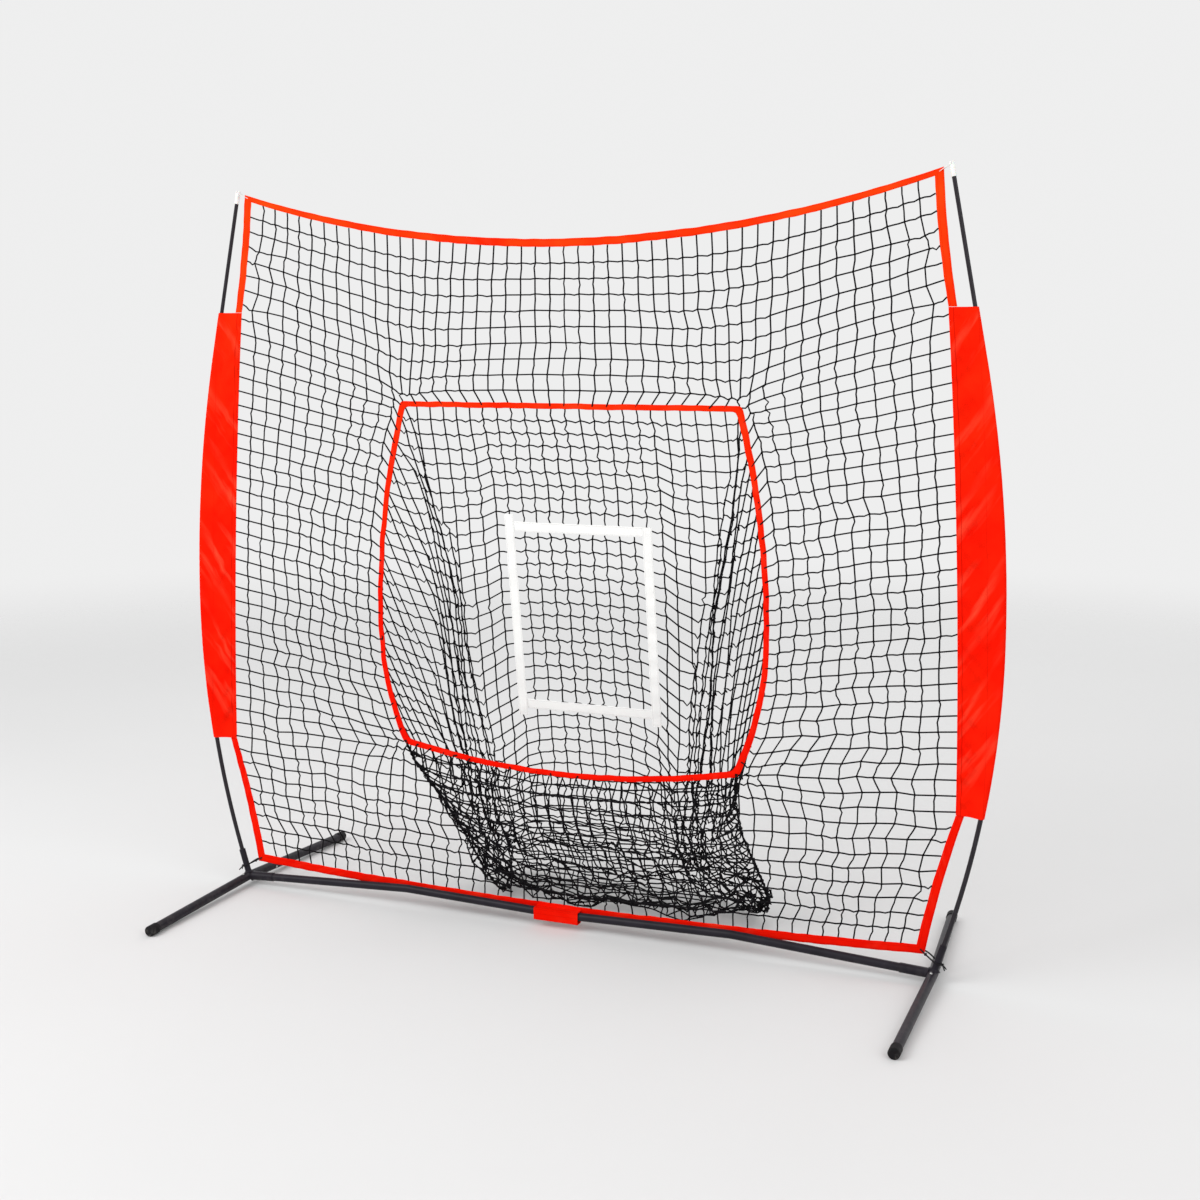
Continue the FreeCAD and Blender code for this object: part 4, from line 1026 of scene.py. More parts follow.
# The binding is sewn near both its edges.
BOUND_EDGE = ((0.0, 0.25), (0.03, 0.8), (0.10, 1.0), (0.17, 0.76), (0.25, 1.02), (0.5, 1.1), (0.75, 1.02),
              (0.83, 0.76), (0.90, 1.0), (0.97, 0.8), (1.0, 0.25))
WEBBING = ((0.0, 0.35), (0.02, 0.9), (0.06, 1.0), (0.5, 1.03), (0.94, 1.0), (0.98, 0.9), (1.0, 0.35))
# Waver of a band: length of each wave, its share of the waver, and the steps at each end that it fades out over.
SIDE_WAVE = 0.11
BULGE_WAVE = 0.08
WIDTH_WAVE = 0.05
SIDE_WAVER = 0.6
WIDTH_WAVER = 0.3
STILL_STEPS = 4
EDGE_TAPE_WAVER = 0.7


def band_piece(name, outer, inner, across, profile, thickness, finish, closed=False, waver=0.0, seed=0):
    """Flat band between two edges, with the cross-section that its folding and stitching give it."""
    outer = np.array(outer, float)
    inner = np.array(inner, float)
    across = np.broadcast_to(np.asarray(across, float), outer.shape)
    if waver:
        middle = (outer + inner) / 2
        wave = waves(middle, SIDE_WAVE, seed)[:, None] * waver
        side = inner - outer
        side = side / np.linalg.norm(side, axis=1)[:, None]
        ends = np.ones(len(outer))
        if not closed:
            steps = np.arange(len(outer))
            ends = np.clip(np.minimum(steps, steps[::-1]) / STILL_STEPS, 0, 1)
        bulge = across * waves(middle, BULGE_WAVE, seed + 1)[:, None] * waver
        shift = (side * wave * SIDE_WAVER + bulge) * ends[:, None]
        outer += shift
        inner += shift + side * waves(middle, WIDTH_WAVE, seed + 2)[:, None] * waver * WIDTH_WAVER * ends[:, None]
    middle = (outer + inner) / 2
    run = run_along(middle)
    ahead = np.gradient(middle, axis=0)
    ahead /= np.linalg.norm(ahead, axis=1)[:, None]
    width = float(np.mean(np.linalg.norm(np.cross(inner - outer, ahead), axis=1)))
    ring = [(t, h) for t, h in profile] + [(t, -h) for t, h in profile[::-1] if h]
    points = []
    map_uv = []
    for k in range(len(outer)):
        for t, h in ring:
            points.append(outer[k] + (inner[k] - outer[k]) * t + across[k] * h * thickness / 2)
            map_uv.append((t * width, run[k]))
    count = len(ring)
    faces = grid_faces(len(outer), count, ring=True)
    if closed:
        last = (len(outer) - 1) * count
        faces += [(last + c, last + (c + 1) % count, (c + 1) % count, c) for c in range(count)]
    else:
        faces.append(tuple(range(count))[::-1])
        faces.append(tuple((len(outer) - 1) * count + c for c in range(count)))
    piece = new_piece(name, points, faces, finish, map_uv)
    turn_outwards(piece)
    return piece, width, float(run[-1])


NET_NORMAL = (0.0, -math.cos(NET_LEAN), math.sin(NET_LEAN))


def sew_tapes(sizes, finish):
    """Band along the top, band along the bottom and the four edge tapes beside the sleeves."""
    outer = OUTER_CORNERS
    inner = INNER_CORNERS

    def sew(node, edge, seam, waver, seed):
        """One folded tape along an edge of the net."""
        piece, width, length = band_piece(node + "_folded", in_net(edge), in_net(seam), NET_NORMAL, FOLDED_TAPE,
                                          sizes.tape_thick, finish, waver=waver, seed=seed)
        place(piece, "tape_red", node)

    for node, corner, swell in (("top_band", 3, -TOP_SAG), ("bottom_band", 0, -BOTTOM_SAG)):
        edge, seam = [arc((-x, z), (x, z), swell, BAND_STEPS) for x, z in (outer[corner], inner[corner])]
        sew(node, edge, seam, sizes.waver, sizes.seed + len(node + "_folded"))
    for level, first, last, swell in (("lower", 0, 1, SIDE_SWELLS[0]), ("upper", 2, 3, SIDE_SWELLS[2])):
        edge = arc(outer[first], outer[last], swell, EDGE_TAPE_STEPS)
        seam = arc(inner[first], inner[last], swell, EDGE_TAPE_STEPS)
        waver = sizes.waver * EDGE_TAPE_WAVER
        sew("edge_tape_" + level + "_left", flipped(edge), flipped(seam), waver, sizes.seed + 20)
        sew("edge_tape_" + level + "_right", edge, seam, waver, sizes.seed + 20)


def opening_ring(outset):
    """Closed outline of the opening, with softly rounded corners."""
    side = opening_side(OPENING_STEPS, outset)
    top = arc(side[-1], (-side[-1][0], side[-1][1]), 0, OPENING_STEPS)
    bottom = arc((-side[0][0], side[0][1]), side[0], -OPENING_SAG, OPENING_STEPS)
    ring = np.concatenate([side[:-1], top[:-1], flipped(side)[::-1][:-1], bottom[:-1]])
    for _ in range(2):
        ring = (np.roll(ring, 1, 0) + 2 * ring + np.roll(ring, -1, 0)) / 4
    return ring


def sew_binding(sizes, finish):
    """Binding round the opening."""
    outer = in_net(opening_ring(HALF_BINDING))
    inner = in_net(opening_ring(-HALF_BINDING))
    piece, width, length = band_piece("opening_binding_sewn", outer, inner, NET_NORMAL, BOUND_EDGE,
                                      sizes.binding_thick, finish, closed=True, waver=sizes.waver, seed=sizes.seed + 40)
    place(piece, "tape_red", "opening_binding")


# Sleeves


def bow_x(z):
    """Half width of the bow at a height."""
    lean = BOW_LOW_LEAN
    apex = JOINT_X + (BOW_LOW_Z - JOINT_Z) * math.tan(lean) + BOW_LOW_RADIUS * (1 - math.cos(lean))
    if z < BOW_LOW_Z:
        return bow_x(BOW_LOW_Z) - (BOW_LOW_Z - z) * math.tan(lean)
    if z > BOW_HIGH_Z:
        drop = BOW_HIGH_Z - BOW_APEX_Z
        return bow_x(BOW_HIGH_Z) - drop / math.sqrt(BOW_HIGH_RADIUS ** 2 - drop ** 2) * (z - BOW_HIGH_Z)
    radius = BOW_LOW_RADIUS if z < BOW_APEX_Z else BOW_HIGH_RADIUS
    return apex - radius + math.sqrt(radius ** 2 - (z - BOW_APEX_Z) ** 2)


def bow_y(z):
    """Depth of the bow at a height."""
    return math.tan(POLE_LEAN) * (z - JOINT_Z)


def sleeve_points(z, sizes):
    """One cross-section of the right-hand sleeve: front layer, round the pole, back layer.

    Each point comes with its run along the cloth and its share of the flat layer, which is 2 round the pole.
    """
    pole = np.array([bow_x(z), bow_y(z)])
    waist, shoulder = INNER_CORNERS[1], INNER_CORNERS[2]
    t = (z - waist[1]) / (shoulder[1] - waist[1])
    edge = np.array([waist[0] + (shoulder[0] - waist[0]) * t - SIDE_SWELLS[1] * 4 * t * (1 - t), net_y(z)])
    inward = (edge - pole) / np.linalg.norm(edge - pole)
    side = np.array([-inward[1], inward[0]])
    seam = pole + inward * CHANNEL_STITCH
    far = np.linalg.norm(edge - seam)
    layer = []
    for k in range(FLAT_STEPS + 1):
        u = k / FLAT_STEPS
        layer.append((edge - inward * far * u, sizes.puff * math.sin(math.pi * u) + LAYER_GAP, far * u))
    channel = [seam + (pole + side * CHANNEL_RADIUS - seam) * s for s in CHANNEL_SHARES]
    for k in range(1, ROUND_STEPS):
        angle = math.pi * (k / ROUND_STEPS - 0.5)
        channel.append(pole + (-inward * math.cos(angle) + side * -math.sin(angle)) * CHANNEL_RADIUS)
    channel += [seam + (pole - side * CHANNEL_RADIUS - seam) * s for s in CHANNEL_SHARES[::-1]]
    points = [along + side * puff for along, puff, _ in layer]
    runs = [run for _, _, run in layer]
    shares = [min(1.0, run / far) for run in runs]
    back = [along - side * puff for along, puff, _ in layer[::-1]]
    for spot, share in zip(channel + back, [2.0] * len(channel) + shares[::-1]):
        runs.append((runs[-1] if len(points) > len(layer) else far) + np.linalg.norm(spot - points[-1]))
        points.append(spot)
        shares.append(share)
    return points, runs, shares, side, far


def sew_sleeve(side_name, sizes, finish):
    """Fabric wing with a channel for the pole, creased by the pull of the bow."""
    low, high = INNER_CORNERS[1][1] + SLEEVE_TRIM, INNER_CORNERS[2][1] - SLEEVE_TRIM
    seed = sizes.seed + (50 if side_name == "left" else 60)
    points = []
    map_uv = []
    for z in np.linspace(low, high, SLEEVE_LEVELS):
        section, runs, shares, side, far = sleeve_points(z, sizes)
        end = min(1.0, (z - low) / SLEEVE_END, (high - z) / SLEEVE_END)
        for spot, run, share in zip(section, runs, shares):
            if share <= 1.0:
                across = share * far
                crease = waves(np.array([[z + across * LONG_SLANT, across]]), LONG_CREASES, seed)[0]
                slanted = z * SHORT_SLANT[0] - across * SHORT_SLANT[1]
                crease += SHORT_SHARE * waves(np.array([[slanted, across]]), SHORT_CREASES, seed + 1)[0]
                fade = math.sin(math.pi * share) ** CREASE_FADE
                shown = CREASE_AT_END + CREASE_INSIDE * end
                spot = spot + side * crease * sizes.wrinkle * CREASE_DEPTH * fade * shown
            else:
                spot = spot + side * FINE_DEPTH * waves(np.array([[z, run]]), FINE_CREASES, seed + 2)[0] * end
            points.append((spot[0], spot[1], z))
            map_uv.append((run, z - low))
    points = np.array(points)
    if side_name == "left":
        points[:, 0] *= -1
    count = len(points) // SLEEVE_LEVELS
    piece = new_piece("sleeve_" + side_name + "_sewn", points, grid_faces(SLEEVE_LEVELS, count), finish, map_uv)
    thicken(piece, CLOTH)
    place(piece, "sleeve_red", "sleeve_" + side_name)


# Strike zone


def strap_piece(name, x0, x1, low, high, layer, sizes, finish, upright):
    """One white strap on the front of the pocket's back wall."""
    gap = HALF_TAPE + NEAR + layer * STRAP_LAYER + STRAP_GAP
    normal = (0.0, -math.cos(math.atan(BACK_SLOPE)), -math.sin(math.atan(BACK_SLOPE)))
    if upright:
        heights = np.linspace(low, high, UPRIGHT_STRAP_STEPS)
        edges = [np.stack([heights * 0 + x, back_y(heights) - gap, heights], -1) for x in (x0, x1)]
    else:
        xs = np.linspace(x0, x1, LEVEL_STRAP_STEPS)
        edges = [np.stack([xs, xs * 0 + back_y(z) - gap, xs * 0 + z], -1) for z in (high, low)]
    piece, width, length = band_piece(name + "_webbing", *edges, normal, WEBBING, WEBBING_THICK, finish,
                                      waver=STRAP_WAVER, seed=sizes.seed + int(layer * 7 + 90 + x0 * 10))
    place(piece, "strap_white", name)


def strap_zone(sizes, finish):
    """The four straps: two level ones and two upright ones over them, with short tails."""
    left = -ZONE_HALF - STRAP / 2
    right = ZONE_HALF + STRAP / 2
    low = ZONE_LOW_Z - STRAP / 2
    high = ZONE_HIGH_Z + STRAP / 2
    strap_piece("zone_strap_top", left, right, high - STRAP, high, 0, sizes, finish, False)
    strap_piece("zone_strap_bottom", left, right, low, low + STRAP, 0, sizes, finish, False)
    strap_piece("zone_strap_left", left, left + STRAP, low - STRAP_TAIL, high + STRAP_TAIL, 1, sizes, finish, True)
    strap_piece("zone_strap_right", right - STRAP, right, low - STRAP_TAIL, high, 1, sizes, finish, True)


# Ties


def rounded(points, closed, smooth=3):
    """Smooth line through the points, by cutting the corners again and again."""
    line = np.array(points, float)
    for _ in range(smooth):
        after = np.roll(line, -1, 0)
        a = line * 0.75 + after * 0.25
        b = line * 0.25 + after * 0.75
        if closed:
            line = np.stack([a, b], 1).reshape(-1, 3)
        else:
            line = np.concatenate([line[:1], np.stack([a[:-1], b[:-1]], 1).reshape(-1, 3), line[-1:]])
    return line


def cord_mesh(name, cords, finish):
    """Round cords, each given as its line, its radius and whether it is closed, in one mesh."""
    made = [strands(name, [line], radius, 3, closed) for line, radius, closed in cords]
    pick(made[0])
    for piece in made[1:]:
        piece.select_set(True)
    if len(made) > 1:
        bpy.ops.object.join()
    piece = bpy.context.view_layer.objects.active
    piece.name = name
    piece.data.name = name
    piece.data.materials.clear()
    piece.data.materials.append(finish)
    bpy.ops.object.shade_smooth()
    return piece


def knot_line(centre, size, turns=60):
    """Closed line of a plain overhand knot."""
    t = np.linspace(0, 2 * math.pi, turns, endpoint=False)
    x = np.sin(t) + 2 * np.sin(2 * t)
    y = np.cos(t) - 2 * np.cos(2 * t)
    z = -np.sin(3 * t)
    return np.stack([x, z * 1.2, y], -1) * size / 3 + centre


def eyelet(corner):
    """Place of the eyelet in the tape at a corner of the net, counted up the right-hand side."""
    x, z = [(OUTER_CORNERS[corner][k] + INNER_CORNERS[corner][k]) / 2 for k in (0, 1)]
    return np.array([x, net_y(z), z])


def corner_tie_cords():
    """Elastic from the right bottom corner round the pole's socket, with two knots and two tails."""
    off = np.array([0, HALF_TAPE + TIE_RADIUS + NEAR, 0])
    wrap = SOCKET_RADIUS + TIE_RADIUS + NEAR
    up = np.array([math.sin(BOW_LOW_LEAN), math.sin(POLE_LEAN), math.cos(BOW_LOW_LEAN)])
    up /= np.linalg.norm(up)
    pole = np.array([JOINT_X, 0, JOINT_Z]) + up * TIE_HEIGHT
    out = np.array([math.cos(BOW_LOW_LEAN), 0, -math.sin(BOW_LOW_LEAN)])
    back = np.array([0, 1, 0])
    ring = [pole + (out * math.cos(a) + back * math.sin(a)) * wrap for a in np.radians(np.arange(-110, 111, 20))]
    hole = eyelet(0)
    loop = [hole - off] + ring + [hole + off + (TAPE, 0, -TAPE / 3), hole + off]
    knot_at = pole + out * (wrap + TIE_RADIUS)
    near_corner, near_pole = CORNER_KNOT_SHARES
    corner_knot_at = (hole - off) * near_corner + ring[0] * near_pole
    cords = [(rounded(loop, True, smooth=2), TIE_RADIUS, True),
             (knot_line(knot_at, SOCKET_KNOT), SOCKET_KNOT_RADIUS, True),
             (knot_line(corner_knot_at, CORNER_KNOT), CORNER_KNOT_RADIUS, True)]
    t = np.linspace(0, 1, 9)[:, None]
    for way in np.array(TAIL_WAYS):
        way /= np.linalg.norm(way)
        tail = knot_at + way * TIE_TAIL * t + np.array(TAIL_DROOP) * t ** 2
        cords.append((tail, TIE_RADIUS * TAIL_THIN, False))
    return cords


def top_tie_cords():
    """Thin loop from the right top corner over the nock in the pole's tip."""
    off = np.array([0, HALF_TAPE + TOP_CORD_RADIUS + NEAR, 0])
    nock_z = BOW_TOP_Z - NOCK_DEPTH + TOP_CORD_RADIUS + NEAR
    nock = np.array([bow_x(nock_z), bow_y(nock_z), nock_z])
    reach = TIP_RADIUS + TOP_CORD_RADIUS + NEAR
    hole = eyelet(3)
    loop = [hole - off] + [nock + (0, reach * s, 0) for s in NOCK_SHARES] + [hole + off]
    return [(rounded(loop, True, smooth=3), TOP_CORD_RADIUS, True)]


def tie_corners(black, white):
    """Elastic loop at each bottom corner and thin white loop at each pole tip."""
    for side, flip in (("left", (-1, 1, 1)), ("right", (1, 1, 1))):
        for level, cords, slot, finish in (("corner_tie_", corner_tie_cords(), "tie_black", black),
                                           ("top_tie_", top_tie_cords(), "tie_white", white)):
            cords = [(line * flip, radius, closed) for line, radius, closed in cords]
            place(cord_mesh(level + side + "_cord", cords, finish), slot, level + side)


# Centre tab


def tab_leaf(name, line, node, body, finish):
    """Webbing strip folded along a line in the YZ plane, as wide as the tab."""
    line = spaced(rounded([(0, y, z) for y, z in line], False, smooth=3), TAB_STEPS)
    low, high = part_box(node)
    points = []
    map_uv = []
    run = run_along(line)
    for x in np.linspace(low.x + TAB_TRIM, high.x - TAB_TRIM, TAB_LINES):
        for spot, along in zip(line, run):
            points.append((x, spot[1], spot[2]))
            map_uv.append((along, x - low.x))
    piece = new_piece(name, points, grid_faces(TAB_LINES, len(line)), finish, map_uv)
    thicken(piece, TAB_WEBBING)
    place(piece, "tape_red", node, body=body)


def fold_tab(finish):
    """Fixed leaves of the centre tab and its front flap."""
    low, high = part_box("tab_strap")
    flap_low, flap_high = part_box("tab_flap")
    half = TAB_THICK / 2
    band = net_y(high.z) - HALF_TAPE - NEAR - half
    over = high.z - TAB_OVER_DROP + half
    over_leaf = [(low.y + TAB_OVER_TRIM, over), (band - TAB_OVER_BEND, over), (band, over),
                 (band, over + TAB_OVER_BEND), (band, high.z - TAB_TRIM)]
    behind = high.y - half
    under = low.z + half
    back_leaf = [(behind, high.z - TAB_TRIM), (behind, under + TAB_BEND), (behind, under), (behind - TAB_BEND, under),
                 (TAB_UNDER_Y, under)]
    tab_leaf("tab_over_leaf", over_leaf, "tab_strap", "frame", finish)
    tab_leaf("tab_back_leaf", back_leaf, "tab_strap", "frame", finish)
    face = flap_low.y + half
    lip = flap_low.z + half
    flap = [(face, flap_high.z - TAB_TRIM), (face, lip + TAB_BEND), (face, lip), (face + TAB_BEND, lip),
            (flap_high.y - TAB_TRIM, lip)]
    tab_leaf("tab_flap_webbing", flap, "tab_flap", "tab_flap", finish)


# Finishes


def add(tree, kind, inputs=None, **settings):
    """Adds a node, sets it and links or fills its inputs."""
    node = tree.nodes.new(kind)
    for key, value in settings.items():
        setattr(node, key, value)
    for key, value in (inputs or {}).items():
        if isinstance(value, bpy.types.NodeSocket):
            tree.links.new(value, node.inputs[key])
        else:
            node.inputs[key].default_value = value
    return node


def maths(tree, operation, a, b=0.0, c=0.0):
    """Result of one sum on numbers or sockets."""
    return add(tree, "ShaderNodeMath", {0: a, 1: b, 2: c}, operation=operation).outputs[0]


def noise(tree, spot, scale, detail, roughness=0.5):
    """Cloudy pattern between 0 and 1."""
    inputs = {"Vector": spot, "Scale": scale, "Detail": detail, "Roughness": roughness}
    return add(tree, "ShaderNodeTexNoise", inputs).outputs[0]


def span(tree, value, first, last, low=0.0, high=1.0):
    """Runs from low to high while the value runs from first to last."""
    inputs = {"Value": value, "From Min": first, "From Max": last, "To Min": low, "To Max": high}
    return add(tree, "ShaderNodeMapRange", inputs).outputs[0]


def effect(name, inputs, outputs):
    """Empty node group with named sockets: inputs with a value take a number, the one with None a vector."""
    tree = bpy.data.node_groups.new(name, "ShaderNodeTree")
    for socket, value in inputs.items():
        kind = "NodeSocketVector" if value is None else "NodeSocketFloat"
        made = tree.interface.new_socket(socket, in_out="INPUT", socket_type=kind)
        if value is not None:
            made.default_value = value
    for socket in outputs:
        tree.interface.new_socket(socket, in_out="OUTPUT", socket_type="NodeSocketFloat")
    return tree, tree.nodes.new("NodeGroupInput").outputs, tree.nodes.new("NodeGroupOutput").inputs


def mottle_effect():
    """Slow and fine unevenness of a surface."""
    tree, given, out = effect("Mottle", {"Vector": None, "Scale": 20.0, "Fine Scale": 400.0}, ("Patches", "Grain"))
    slow = noise(tree, given["Vector"], given["Scale"], 3.0, 0.55)
    fine = noise(tree, given["Vector"], given["Fine Scale"], 2.0, 0.6)
    patches = span(tree, slow, 0.3, 0.7)
    tree.links.new(patches, out["Patches"])
    tree.links.new(fine, out["Grain"])
    return tree


def weave_effect():
    """Plain weave from a UV map in metres."""
    tree, given, out = effect("Weave", {"Vector": None, "Across": 900.0, "Along": 700.0}, ("Height", "Thread"))
    parts = add(tree, "ShaderNodeSeparateXYZ", {0: given["Vector"]})
    x = maths(tree, "MULTIPLY", parts.outputs[0], given["Across"])
    y = maths(tree, "MULTIPLY", parts.outputs[1], given["Along"])
    wave_x = maths(tree, "ABSOLUTE", maths(tree, "SINE", maths(tree, "MULTIPLY", x, math.pi)))
    wave_y = maths(tree, "ABSOLUTE", maths(tree, "SINE", maths(tree, "MULTIPLY", y, math.pi)))
    cell = maths(tree, "ADD", maths(tree, "FLOOR", x), maths(tree, "FLOOR", y))
    over = maths(tree, "FLOORED_MODULO", cell, 2.0)
    height = add(tree, "ShaderNodeMix", {0: over, 2: wave_x, 3: wave_y}, data_type="FLOAT")
    tree.links.new(height.outputs[0], out["Height"])
    tree.links.new(over, out["Thread"])
    return tree


def stitch_effect():
    """Row of stitches along a UV map: where the thread lies."""
    tree, given, out = effect("Stitches", {"Vector": None, "Line": 0.003, "Half Width": 0.0004, "Stitch": 0.0035},
                              ("Thread",))
    parts = add(tree, "ShaderNodeSeparateXYZ", {0: given["Vector"]})
    away = maths(tree, "ABSOLUTE", maths(tree, "SUBTRACT", parts.outputs[0], given["Line"]))
    near = maths(tree, "LESS_THAN", away, given["Half Width"])
    part = maths(tree, "FRACT", maths(tree, "DIVIDE", parts.outputs[1], given["Stitch"]))
    dash = maths(tree, "LESS_THAN", part, 0.72)
    tree.links.new(maths(tree, "MULTIPLY", near, dash), out["Thread"])
    return tree


def highlight_streak_effect():
    """Slanting streaks along a UV map in metres, where painted highlights lie on the cloth."""
    tree, given, out = effect("Highlight Streaks", {"Vector": None, "Slant": 0.6, "Length": 0.1}, ("Streak",))
    turned = add(tree, "ShaderNodeVectorRotate", {"Vector": given["Vector"], "Angle": given["Slant"]},
                 rotation_type="Z_AXIS")
    scale = add(tree, "ShaderNodeCombineXYZ", {0: 1.0, 1: given["Length"], 2: 1.0})
    drawn = add(tree, "ShaderNodeVectorMath", {0: turned.outputs[0], 1: scale.outputs[0]}, operation="MULTIPLY")
    sharp = span(tree, noise(tree, drawn.outputs[0], 30.0, 3.0), 0.52, 0.70)
    where = span(tree, noise(tree, given["Vector"], 5.0, 1.0), 0.38, 0.62)
    tree.links.new(maths(tree, "MULTIPLY", sharp, where), out["Streak"])
    return tree


def dust_effect():
    """Pale dust near the ground, thinning out upwards."""
    tree, given, out = effect("Ground Dust", {"Vector": None, "Reach": 0.05}, ("Dust",))
    parts = add(tree, "ShaderNodeSeparateXYZ", {0: given["Vector"]})
    low = span(tree, parts.outputs[2], 0.0, given["Reach"], 1.0, 0.0)
    mask = span(tree, noise(tree, given["Vector"], 60.0, 5.0, 0.7), 0.45, 0.75)
    tree.links.new(maths(tree, "MULTIPLY", low, mask), out["Dust"])
    return tree


def blend_colour(tree, factor, a, b):
    """Colour a where the factor is 0 and b where it is 1."""
    return add(tree, "ShaderNodeMix", {0: factor, 6: a, 7: b}, data_type="RGBA").outputs[2]


def shade(colour, amount):
    """The colour made darker or lighter."""
    return tuple(min(1.0, c * amount) for c in colour[:3]) + (1.0,)


def new_finish(name, roughness=0.5, metallic=0.0, **constants):
    """Material with its shader and a fresh node tree."""
    material = bpy.data.materials.new(name)
    material.use_nodes = True
    tree = material.node_tree
    shader = next(n for n in tree.nodes if n.type == "BSDF_PRINCIPLED")
    shader.inputs["Roughness"].default_value = roughness
    shader.inputs["Metallic"].default_value = metallic
    for key, value in constants.items():
        shader.inputs[key.replace("_", " ")].default_value = value
    return material, tree, shader


def use(tree, group, **inputs):
    """Places an effect in a material and gives its outputs."""
    node = tree.nodes.new("ShaderNodeGroup")
    node.node_tree = group
    for key, value in inputs.items():
        key = key.replace("_", " ")
        if isinstance(value, bpy.types.NodeSocket):
            tree.links.new(value, node.inputs[key])
        else:
            node.inputs[key].default_value = value
    return node.outputs


def object_place(tree):
    """Place on the piece, in metres."""
    return tree.nodes.new("ShaderNodeTexCoord").outputs["Object"]


def own_map(tree):
    """Place on the piece's own flat cloth, in metres."""
    return tree.nodes.new("ShaderNodeUVMap").outputs[0]


def connect(tree, shader, colour, roughness, height, depth, strength):
    """Links what varies over the surface to the shader."""
    tree.links.new(colour, shader.inputs["Base Color"])
    tree.links.new(roughness, shader.inputs["Roughness"])
    bump = add(tree, "ShaderNodeBump", {"Height": height, "Distance": depth, "Strength": strength})
    tree.links.new(bump.outputs[0], shader.inputs["Normal"])


def spread(tree, value, low, high):
    """Stretches a value between 0 and 1 to run from low to high."""
    return span(tree, value, 0.0, 1.0, low, high)


def mottled_finish(name, effects, base, scales, shades, rough, bump, dusty=None, **constants):
    """Hard or moulded surface: slow patches between two shades, a fine grain, and dust near the ground if asked for."""
    material, tree, shader = new_finish(name, **constants)
    spot = object_place(tree)
    uneven = use(tree, effects["mottle"], Vector=spot, Scale=scales[0], Fine_Scale=scales[1])
    colour = blend_colour(tree, uneven["Patches"], shade(base, shades[0]), shade(base, shades[1]))
    if dusty:
        reach, amount, tint = dusty
        dust = use(tree, effects["dust"], Vector=spot, Reach=reach)
        colour = blend_colour(tree, maths(tree, "MULTIPLY", dust["Dust"], amount), colour, tint)
    connect(tree, shader, colour, spread(tree, uneven["Grain"], *rough), uneven["Grain"], *bump)
    return material


# Colours of the painted highlight streaks on the cloth and of the painted light high up on it
HIGHLIGHT_STREAK_RED = (1.0, 0.105, 0.048, 1)
SUNLIT_ORANGE = (0.95, 0.075, 0.006, 1)


def fabric_finish(name, effects, base, threads, lines, roughness, tone_and_sheen, streak_highlight=0.0, painted_light_high=0.0, hem_shade_line=0.0):
    """Woven cloth with stitch lines at the given places across it, with paler slow patches of random tone and painted
    sheen, painted highlight streaks, painted light towards the top and a painted shade line along the hem.
    """
    material, tree, shader = new_finish(name, roughness=roughness, Specular_IOR_Level=0.004)
    chart = own_map(tree)
    spot = object_place(tree)
    weave = use(tree, effects["weave"], Vector=chart, Across=threads[0], Along=threads[1])
    uneven = use(tree, effects["mottle"], Vector=spot, Scale=7.0, Fine_Scale=260.0)
    # Slow patches between the base and a paler colour: partly random tone, partly painted sheen
    warm = blend_colour(tree, uneven["Patches"], shade(base, 0.93), tone_and_sheen)
    # Painted highlight: paler slanting streaks of red where the cloth catches the light
    if streak_highlight:
        highlight_streaks = use(tree, effects["pull"], Vector=chart, Slant=0.62, Length=0.12)
        warm = blend_colour(tree, maths(tree, "MULTIPLY", highlight_streaks["Streak"], streak_highlight), warm, HIGHLIGHT_STREAK_RED)
    # Painted light: the cloth turns orange in patches towards the top, where it catches the most light
    if painted_light_high:
        high = span(tree, add(tree, "ShaderNodeSeparateXYZ", {0: spot}).outputs[2], 1.0, 2.05)
        lit = maths(tree, "MULTIPLY", high, spread(tree, uneven["Patches"], painted_light_high * 0.3, painted_light_high))
        warm = blend_colour(tree, lit, warm, SUNLIT_ORANGE)
    # Painted shade: a thin dark line along the hem crease, where the folded cloth lies in shade
    if hem_shade_line:
        crease = use(tree, effects["stitches"], Vector=chart, Line=hem_shade_line, Half_Width=0.0012, Stitch=9.0)
        warm = blend_colour(tree, maths(tree, "MULTIPLY", crease["Thread"], 0.6), warm, shade(base, 0.45))
    colour = blend_colour(tree, spread(tree, weave["Height"], 0.0, 0.35), warm, shade(base, 0.72))
    height = weave["Height"]
    for line in lines:
        sewn = use(tree, effects["stitches"], Vector=chart, Line=line)
        colour = blend_colour(tree, sewn["Thread"], colour, shade(base, 0.6))
        height = maths(tree, "ADD", height, maths(tree, "MULTIPLY", sewn["Thread"], 1.5))
    rough = spread(tree, uneven["Grain"], roughness - 0.1, roughness + 0.12)
    connect(tree, shader, colour, rough, height, 0.00025, 0.45)
    return material


def rod_finish(name, effects, base, gloss):
    """Wrapped fibreglass: fine streaks along the pole under a clear coat."""
    material, tree, shader = new_finish(name, roughness=gloss, Specular_IOR_Level=0.16, Coat_Weight=0.08,
                                        Coat_Roughness=0.18)
    spot = object_place(tree)
    stretched = add(tree, "ShaderNodeMapping", {"Vector": spot, "Scale": (1.0, 1.0, 0.02)}).outputs[0]
    streaks = use(tree, effects["mottle"], Vector=stretched, Scale=420.0, Fine_Scale=1400.0)
    colour = blend_colour(tree, streaks["Patches"], shade(base, 0.7), shade(base, 1.9))
    rough = spread(tree, streaks["Grain"], gloss - 0.08, gloss + 0.1)
    connect(tree, shader, colour, rough, streaks["Patches"], 0.0001, 0.25)
    return material


